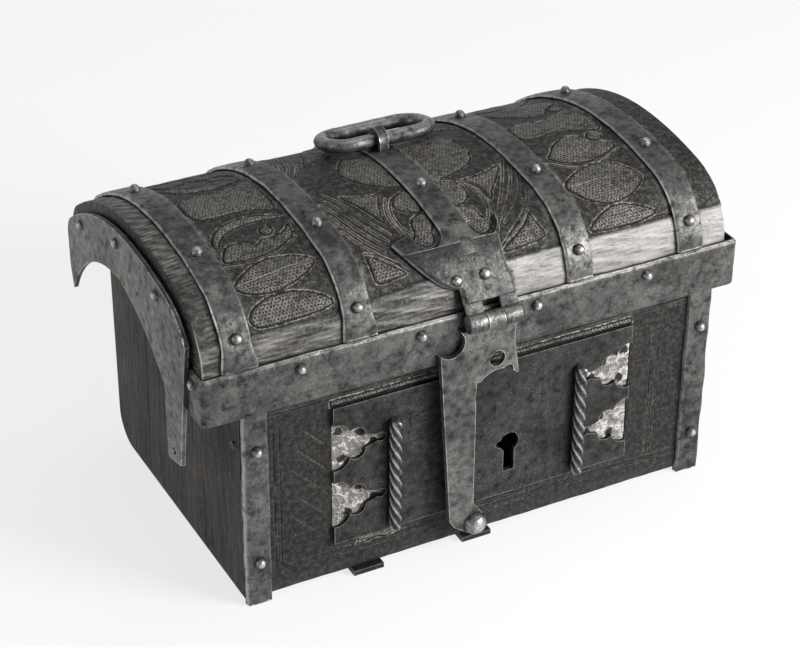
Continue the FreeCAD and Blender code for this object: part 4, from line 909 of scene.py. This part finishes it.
# %% Forged bars
top = np.concatenate([[-1, -0.985, -0.95, -0.9], np.linspace(-0.8, 0.8, 9), [0.9, 0.95, 0.985, 1]])
section_a = np.concatenate([top, [1.0, 0.0, -1.0]])
section_t = np.concatenate([1 - 0.06 * top ** 2 - 0.5 * step(np.abs(top), 0.88, 1.0) ** 2, np.zeros(3)])


def run_length(path):
    """Length from the start to each point of a path."""
    return np.concatenate([[0], np.cumsum(np.linalg.norm(np.diff(path, axis=0), axis=1))])


def upright(y, z):
    """Points or normals in the plane x = 0."""
    return np.stack([np.zeros(len(y)), y, z], -1)


def bar_piece(name, points, body, finish, stands_for, rubbed, soot):
    """Iron bar from rings of points, with a cap on each end."""
    rows, columns = rubbed.shape
    ends = [range(columns)[::-1], range((rows - 1) * columns, rows * columns)]
    make_piece(name, points, grid_faces(rows, columns, True), body, "iron", finish, stands_for, caps=ends,
               rubbed=rubbed, soot=soot)


def forged_bar(name, path, outward, middle, half, thick, seed, body, stands_for="", across=(1, 0, 0),
               marks=1.0, shine=0.6, finish=band_iron):
    """Bar whose section is carried along a path: path + across * (middle + a * half) + outward * t * thick."""
    path, outward, across = (np.asarray(v, float) for v in (path, outward, across))
    length = run_length(path)
    s, a = np.meshgrid(length, section_a, indexing="ij")
    half = np.broadcast_to(half, length.shape)[:, None]
    dents = 0.05 * thick * marks * (1 + 0.8 * ripple(s, a * half, seed, shortest=7))
    t = np.where(section_t > 0, section_t * thick - dents, 0)
    drawn = 1 + ripple(s, 40 * np.sign(a), seed + 50, shortest=9, longest=45)
    aside = np.broadcast_to(middle, length.shape)[:, None] + a * half * (1 - 0.022 * marks * drawn)
    points = path[:, None] + across * aside[..., None] + outward[:, None] * t[..., None]
    # Edges of the top worn pale with a painted sheen; the underside against the leather painted dark as shade.
    rubbed = np.where(section_t > 0, shine * step(np.abs(a), 1 - 0.7 / half, 1 - 0.25 / half), 0.0)
    soot = np.broadcast_to(np.where(section_t > 0, 0.0, 0.9), a.shape)
    bar_piece(name, points, body, finish, stands_for, rubbed, soot)


def lid_bar(name, k, along, middle, half, rolled, stands_for="", marks=1.0):
    """Bar over the lid at the given lengths; a rolled one goes on down a tongue and round its pin, where
    a point is pin - radius * (cos, sin)."""
    y, z, ny, nz = lid_line(along)
    if rolled:
        turn = np.linspace(0, 5.4, 48)
        pin_y, pin_z, radius = 61.3, 90.05, 3.13
        y = np.concatenate([y, [57.75, 57.95], pin_y - radius * np.cos(turn)])
        z = np.concatenate([z, [93.8, 92.0], pin_z - radius * np.sin(turn)])
        ny = np.concatenate([ny, [1, 1], np.cos(turn)])
        nz = np.concatenate([nz, [0, 0], np.sin(turn)])
        more = len(y) - len(along)
        middle = np.concatenate([middle, np.full(more, band_x[k] + 2.0)])
        half = np.concatenate([half, np.full(more, 2.65)])
    forged_bar(name, upright(y, z), upright(ny, nz), middle, half, band_thick, 60 + k, "lid", stands_for,
               marks=marks)


for k, name in ((0, "bar_far_left"), (1, "bar_left"), (3, "bar_right"), (4, "bar_far_right")):
    rolled = k in (1, 3)
    along = np.linspace(-69.8, 80.0 if rolled else 83.5, 170)
    half = band_half + 1.3 * step(along, -60, -69.8) * (k < 2)
    lid_bar(name, k, along, np.full(len(along), band_x[k]), half, rolled, name.replace("bar", "lid_band"))

# %% [markdown]
# ## The winged plate of the hasp
# The centre band spreads at the front into a plate with two horns, each set off from the band by a round bite,
# and its end is rolled into the outer knuckles of the hasp's hinge. It could be cut from a flat outline, but at
# each depth the plate is one to three strips, so it is made of bars whose left and right edges are
# functions of the depth: circles through three points for the outer edges, and plain circles for the bites. The
# plate ends a little below the top of the barrel, so that the barrel stands out as a tube. Behind, the centre
# band ends in a knuckle like those of its neighbours.

# %% Winged plate
def circle_side(p, q, r, y, side):
    """x at the heights y on the circle through three points; its centre is where two chords' mid-lines meet."""
    p, q, r = (np.asarray(v, float) for v in (p, q, r))
    centre = np.linalg.solve(2 * np.stack([q - p, r - q]), np.array([q @ q - p @ p, r @ r - q @ q]))
    return centre[0] + side * np.sqrt(np.maximum(((p - centre) ** 2).sum() - (y - centre[1]) ** 2, 0))


bite_y, bite_r, bite_left, bite_right = -46.1, 5.4, -18.4, 3.4
horn_y, horn_left, horn_right = -47.1, -32.3, 11.5
neck_y, neck_left, neck_right, wing_y = -61.3, -13.2, 7.4, -54.91


def bite(y):
    """Half the width of a bite at a depth."""
    return np.sqrt(np.maximum(bite_r ** 2 - (y - bite_y) ** 2, 0))


def outer_left(y):
    """Left edge of the plate: upright at the neck, then a circle out to the left horn."""
    wing = circle_side((horn_left, horn_y), (-27.14, wing_y), (neck_left, neck_y), y, -1)
    return np.where(y < neck_y, neck_left, wing)


def outer_right(y):
    """Right edge of the plate: upright at the neck, then a circle out to the right horn."""
    wing = circle_side((neck_right, neck_y), (6.58, wing_y), (horn_right, horn_y), y, -1)
    return np.where(y < neck_y, neck_right, wing)


def plate_bar(name, depth, left, right, stands_for=""):
    """Part of the plate between two edges that change with depth. Its inner face follows the lid's shoulder as
    far as the bridge, then goes straight on to the barrel."""
    radius = shoulder[0]
    leave_y, leave_z = centre_y[0] + radius * up_y, spring_z + radius * up_z
    turn = np.arcsin(np.clip((depth - centre_y[0]) / radius, -1, 1))
    straight = depth < leave_y
    z = np.where(straight, leave_z + up_y * (leave_y - depth) / up_z, spring_z + radius * np.cos(turn))
    ny, nz = np.where(straight, up_y, np.sin(turn)), np.where(straight, up_z, np.cos(turn))
    half = np.maximum((right - left) / 2, 0.05)
    forged_bar(name, upright(depth, z), upright(ny, nz), (left + right) / 2, half, band_thick, 70, "lid",
               stands_for, marks=0.0, finish=plate_iron)


low, mid = np.linspace(barrel_y + 3.38, -51.4, 60), np.linspace(-51.5, -44.9, 40)
plate_bar("winged_plate", low, outer_left(low), outer_right(low), "lid_band_centre")
past, before = mid > horn_y, np.minimum(mid, horn_y)
tip = horn_left + np.minimum((mid - horn_y) * 3.86, 19.0)
plate_bar("left_horn", mid, np.where(past, tip, outer_left(before)), bite_left - bite(mid))
tip = np.where(past, horn_right - np.maximum((mid - horn_y) * 2.7, 0), outer_right(before))
plate_bar("right_horn", mid, bite_right + bite(mid), np.maximum(tip, bite_right + 0.1 + bite(mid)))
end = np.linspace(barrel_y + 0.9, barrel_y + 3.6, 6)
plate_bar("left_root", end, -13.1, -6.3)
plate_bar("right_root", end, 0.5, 7.3)

# %% Centre band and knuckles
along = np.linspace(-52.3, 80.0, 150)
depth = lid_line(along)[0]
left = np.where(depth < bite_y, bite_left + bite(depth), -13.0)
right = np.where(depth < bite_y, bite_right - bite(depth), -2.0)
lid_bar("bar_centre", 2, along, (left + right) / 2, (right - left) / 2, True, marks=0.0)


def hinge_tube(name, start, end):
    """Knuckle of the hasp's hinge: a closed outline of a tube's wall, turned round the pin."""
    x = np.array([start, start, start + 0.12, start + 0.45, end - 0.45, end - 0.12, end, end])[:, None]
    r = np.array([1.52, 2.85, 3.18, 3.3, 3.3, 3.18, 2.85, 1.52])[:, None]
    around = ring_around(48)
    shape = (len(x), len(around))
    y, z = barrel_y + r * np.cos(around), barrel_z + r * np.sin(around)
    points = np.stack([np.broadcast_to(x, shape), y, z], -1)
    # Painted highlight along the top of each knuckle.
    rubbed = np.broadcast_to(0.4 * step(np.sin(around), -0.2, 0.8), shape)
    make_piece(name, points, grid_faces(*shape, True), "lid", "iron", barrel_iron, rubbed=rubbed)


hinge_tube("left_hasp_knuckle", -13.2, -6.35)
hinge_tube("right_hasp_knuckle", 0.55, 7.4)

# %% [markdown]
# ## Corner strips
# An iron strip stands at each front corner and goes down to the floor. The CAD strip could stay, but it is too
# even. So the forged bar serves again, on a straight upright path, with stronger hammer marks, because these
# strips are thick and rough.

# %% Corner strips
for seed, name, x in ((95, "left", -90.0), (96, "right", 90.0)):
    height = np.linspace(0, 88, 90)
    path = np.stack([np.zeros(90), np.full(90, -57.5), height], -1)
    forged_bar(name + "_corner_bar", path, np.tile([0.0, -1.0, 0.0], (90, 1)), x, 5.0, 3.0, seed, "box",
               "corner_strip_" + name, marks=1.3)

# %% [markdown]
# ## Rim band
# One long bar stands upright along the lid's front edge and is bent back at both corners. Three flat bars would
# show a joint at each corner, so the same section is carried along the whole plan, this time with the
# width upright; the corners are short arcs.

# %% Rim band
def rim_bar():
    """Plan from the right return, along the front, to the left return; the path is the inner face."""
    left, right, front, back = -110.75, 101.45, -64.1, -48.3
    bend, thick, few, many = 2.2, 1.8, 6, 190
    turn = np.linspace(0, np.pi / 2, 9)
    cos, sin = np.cos(turn), np.sin(turn)
    x = np.concatenate([np.full(few, right), right - bend + bend * cos, np.linspace(right - 3, left + 3, many),
                        left + bend - bend * sin, np.full(few, left)])
    y = np.concatenate([np.linspace(back, front + 3, few), front + bend - bend * sin, np.full(many, front),
                        front + bend - bend * cos, np.linspace(front + 3, back, few)])
    nx = np.concatenate([np.ones(few), cos, np.zeros(many), -sin, -np.ones(few)])
    ny = np.concatenate([np.zeros(few), -sin, -np.ones(many), -cos, np.zeros(few)])
    outward = np.stack([nx, ny, np.zeros(len(x))], -1)
    path = np.stack([x, y, np.full(len(x), 91.0)], -1) - thick * outward
    forged_bar("rim_bar", path, outward, 0.0, 9.5, thick, 81, "lid", "rim_band", (0, 0, 1), 0.6, 0.35)


rim_bar()

# %% [markdown]
# ## Ring handle
# The ring is round bar bent to a long loop, and lies back on the lid. A torus can't be long, so its path is a
# rectangle with round corners, resampled to even steps, and a circle is carried along it.

# %% Ring
def ring_bar():
    """Loop in a leaning plane: a point is centre + u * x axis + v * back, and the bar's circle stands on the
    loop's normal."""
    half_l, half_d, corner_r, bar_r = 20.3, 9.8, 8.0, 2.7
    turn = ring_around(400) + 0.001
    u = (half_l - corner_r) * np.sign(np.cos(turn)) + corner_r * np.cos(turn)
    v = (half_d - corner_r) * np.sign(np.sin(turn)) + corner_r * np.sin(turn)
    loop = np.stack([np.append(u, u[0]), np.append(v, v[0])], -1)
    length = run_length(loop)
    even = np.linspace(0, length[-1], 150, endpoint=False)
    u, v = (np.interp(even, length, part)[:, None] for part in loop.T)
    du, dv = (np.roll(w, -2, 0) - np.roll(w, 2, 0) for w in (u, v))
    size = np.hypot(du, dv)
    around = ring_around(20)
    r = bar_r * (0.955 + 0.03 * ripple(even[:, None], 5 * np.sin(around)[None], 91, shortest=6))
    r = np.minimum(r, bar_r)
    out = r * np.cos(around)
    lean_cos, lean_sin = 0.9707, 0.2403
    back, up = np.array([0, lean_cos, -lean_sin]), np.array([0, lean_sin, lean_cos])
    parts = ((u + out * dv / size, np.array([1.0, 0, 0])), (v - out * du / size, back),
             (r * np.sin(around), up))
    points = np.array([-4.1, 10.0, 132.54]) + half_d * back + sum(far[..., None] * way for far, way in parts)
    rows, columns = r.shape
    close = grid_faces(2, columns, True)
    close = close + np.where(close < columns, (rows - 1) * columns, -columns)
    faces = np.concatenate([grid_faces(rows, columns, True), close])
    # Painted highlight along the top of the bar.
    rubbed = np.broadcast_to(0.55 * step(np.sin(around), 0.3, 1.0), r.shape)
    make_piece("ring_bar", points, faces, "handle", "iron", band_iron, "ring_handle", rubbed=rubbed)


ring_bar()

# %% [markdown]
# ## Twisted rods
# The rods beside the lock plate's windows are square bar, twisted while hot. Blender could twist a long box,
# but its corners would be knife edges. The section here is a square with soft corners that turns evenly with
# height; the corners are worn pale with a painted sheen, and the flats are sooty and painted with shade.

# %% Twisted rods
def twisted_bar(name, x, stands_for):
    """Square bar with soft corners: radius = side / (|cos|^7 + |sin|^7)^(1/7), turned once in each pitch."""
    low, high, pitch, side, y = 16.7, 63.0, 20, 1.8, -62.55
    z, a = np.meshgrid(np.linspace(low, high, 190), ring_around(36), indexing="ij")
    r = side * (np.abs(np.cos(a)) ** 7 + np.abs(np.sin(a)) ** 7) ** (-1 / 7)
    taper = 1 - 0.25 * step(z, high - 1, high) - 0.25 * step(z, low + 1, low)
    turn = a - 2 * np.pi * (z - low) / pitch
    points = np.stack([x + r * taper * np.cos(turn), y + r * taper * np.sin(turn), z], -1)
    # Pale corners: wear and painted sheen; dark flats: soot and painted shade.
    bar_piece(name, points, "box", band_iron, stands_for, 0.8 * step(r, 2.0, 2.28), 0.7 * step(r, 2.0, 1.8))


twisted_bar("left_twisted_bar", -37.85, "twisted_rod_left")
twisted_bar("right_twisted_bar", 37.85, "twisted_rod_right")

# %% [markdown]
# ## Pale skin behind the windows
# Behind the pierced windows lies a scrap of pale skin, crumpled and torn, with dark stains. It could be
# crumpled by a cloth simulation, but so little of it shows that a formula is enough: a grid with a crumple of
# folded waves. The torn holes are distances to a few marked points, kept on the mesh for the finish. The folds
# get painted shade, more on the left sheet than on the right, and the holes are painted nearly black as the
# shade behind them.

# %% Skin behind the tracery
def skin_finish(name):
    """Pale skin with painted shade, grey in the folds and nearly black in the torn holes; stained in blots."""
    finish, tree, shader, place = new_finish(name)
    broad, fine, _ = use_effect(tree, blots, Place=place, Blots=230.0)
    fold, hole = kept_marks(tree, "fold hole")
    # Painted shade grey in the folds, stains in blots, and painted shade nearly black in the holes.
    colour = paint((0.24, 0.230, 0.214), (ease(fold, 0.9, 0.05), (0.62, 0.60, 0.567)),
                   (ease(broad, 0.42, 0.62, 0.0, 0.5), (0.075, 0.070, 0.064)),
                   (ease(fine, 0.48, 0.60, 0.0, 0.85), (0.03, 0.028, 0.026)),
                   (ease(hole, 2.1, 1.4), (0.012, 0.011, 0.010)))
    connect(shader, fine, 0.0004, Base_Color=colour, Roughness=ease(fine, 0.3, 0.7, 0.5, 0.75),
            Specular_IOR_Level=0.3)
    return finish


pale_skin = skin_finish("pale_skin")
holes = np.array([[49.5, 59.6], [44.6, 54.0], [50.0, 36.4], [44.2, 30.2],
                  [57.0, 50.6], [54.6, 27.2], [58.6, 62.4]])


def crumpled_skin(name, side, stands_for, seed, grey):
    """Sheet behind one pair of windows: depth is the size of a sum of waves, which gives sharp folds."""
    z, x = np.meshgrid(np.linspace(21.35, 67.15, 112), np.linspace(38.95, 60.75, 56), indexing="ij")
    fold = np.abs(ripple(x, z, seed, waves=9, shortest=2.5, longest=16))
    # Distance to the torn holes, painted nearly black as the shade behind them.
    hole = np.hypot(x[..., None] - holes[:, 0], z[..., None] - holes[:, 1]).min(-1)
    hole = hole + 0.5 * ripple(x, z, seed + 1, shortest=2, longest=7)
    points = np.stack([side * x, -58.35 + 0.22 * np.minimum(fold, 2.0), z], -1)
    make_piece(name, points, grid_faces(*z.shape), "box", "pale_backing", pale_skin, stands_for,
               inside=(0, 0, 45), fold=grey * fold, hole=hole)


# The left sheet gets more painted shade in its folds than the right one, which the lamp lights.
crumpled_skin("left_skin", -1, "tracery_backing_left", 41, 1.7)
crumpled_skin("right_skin", 1, "tracery_backing_right", 47, 0.75)
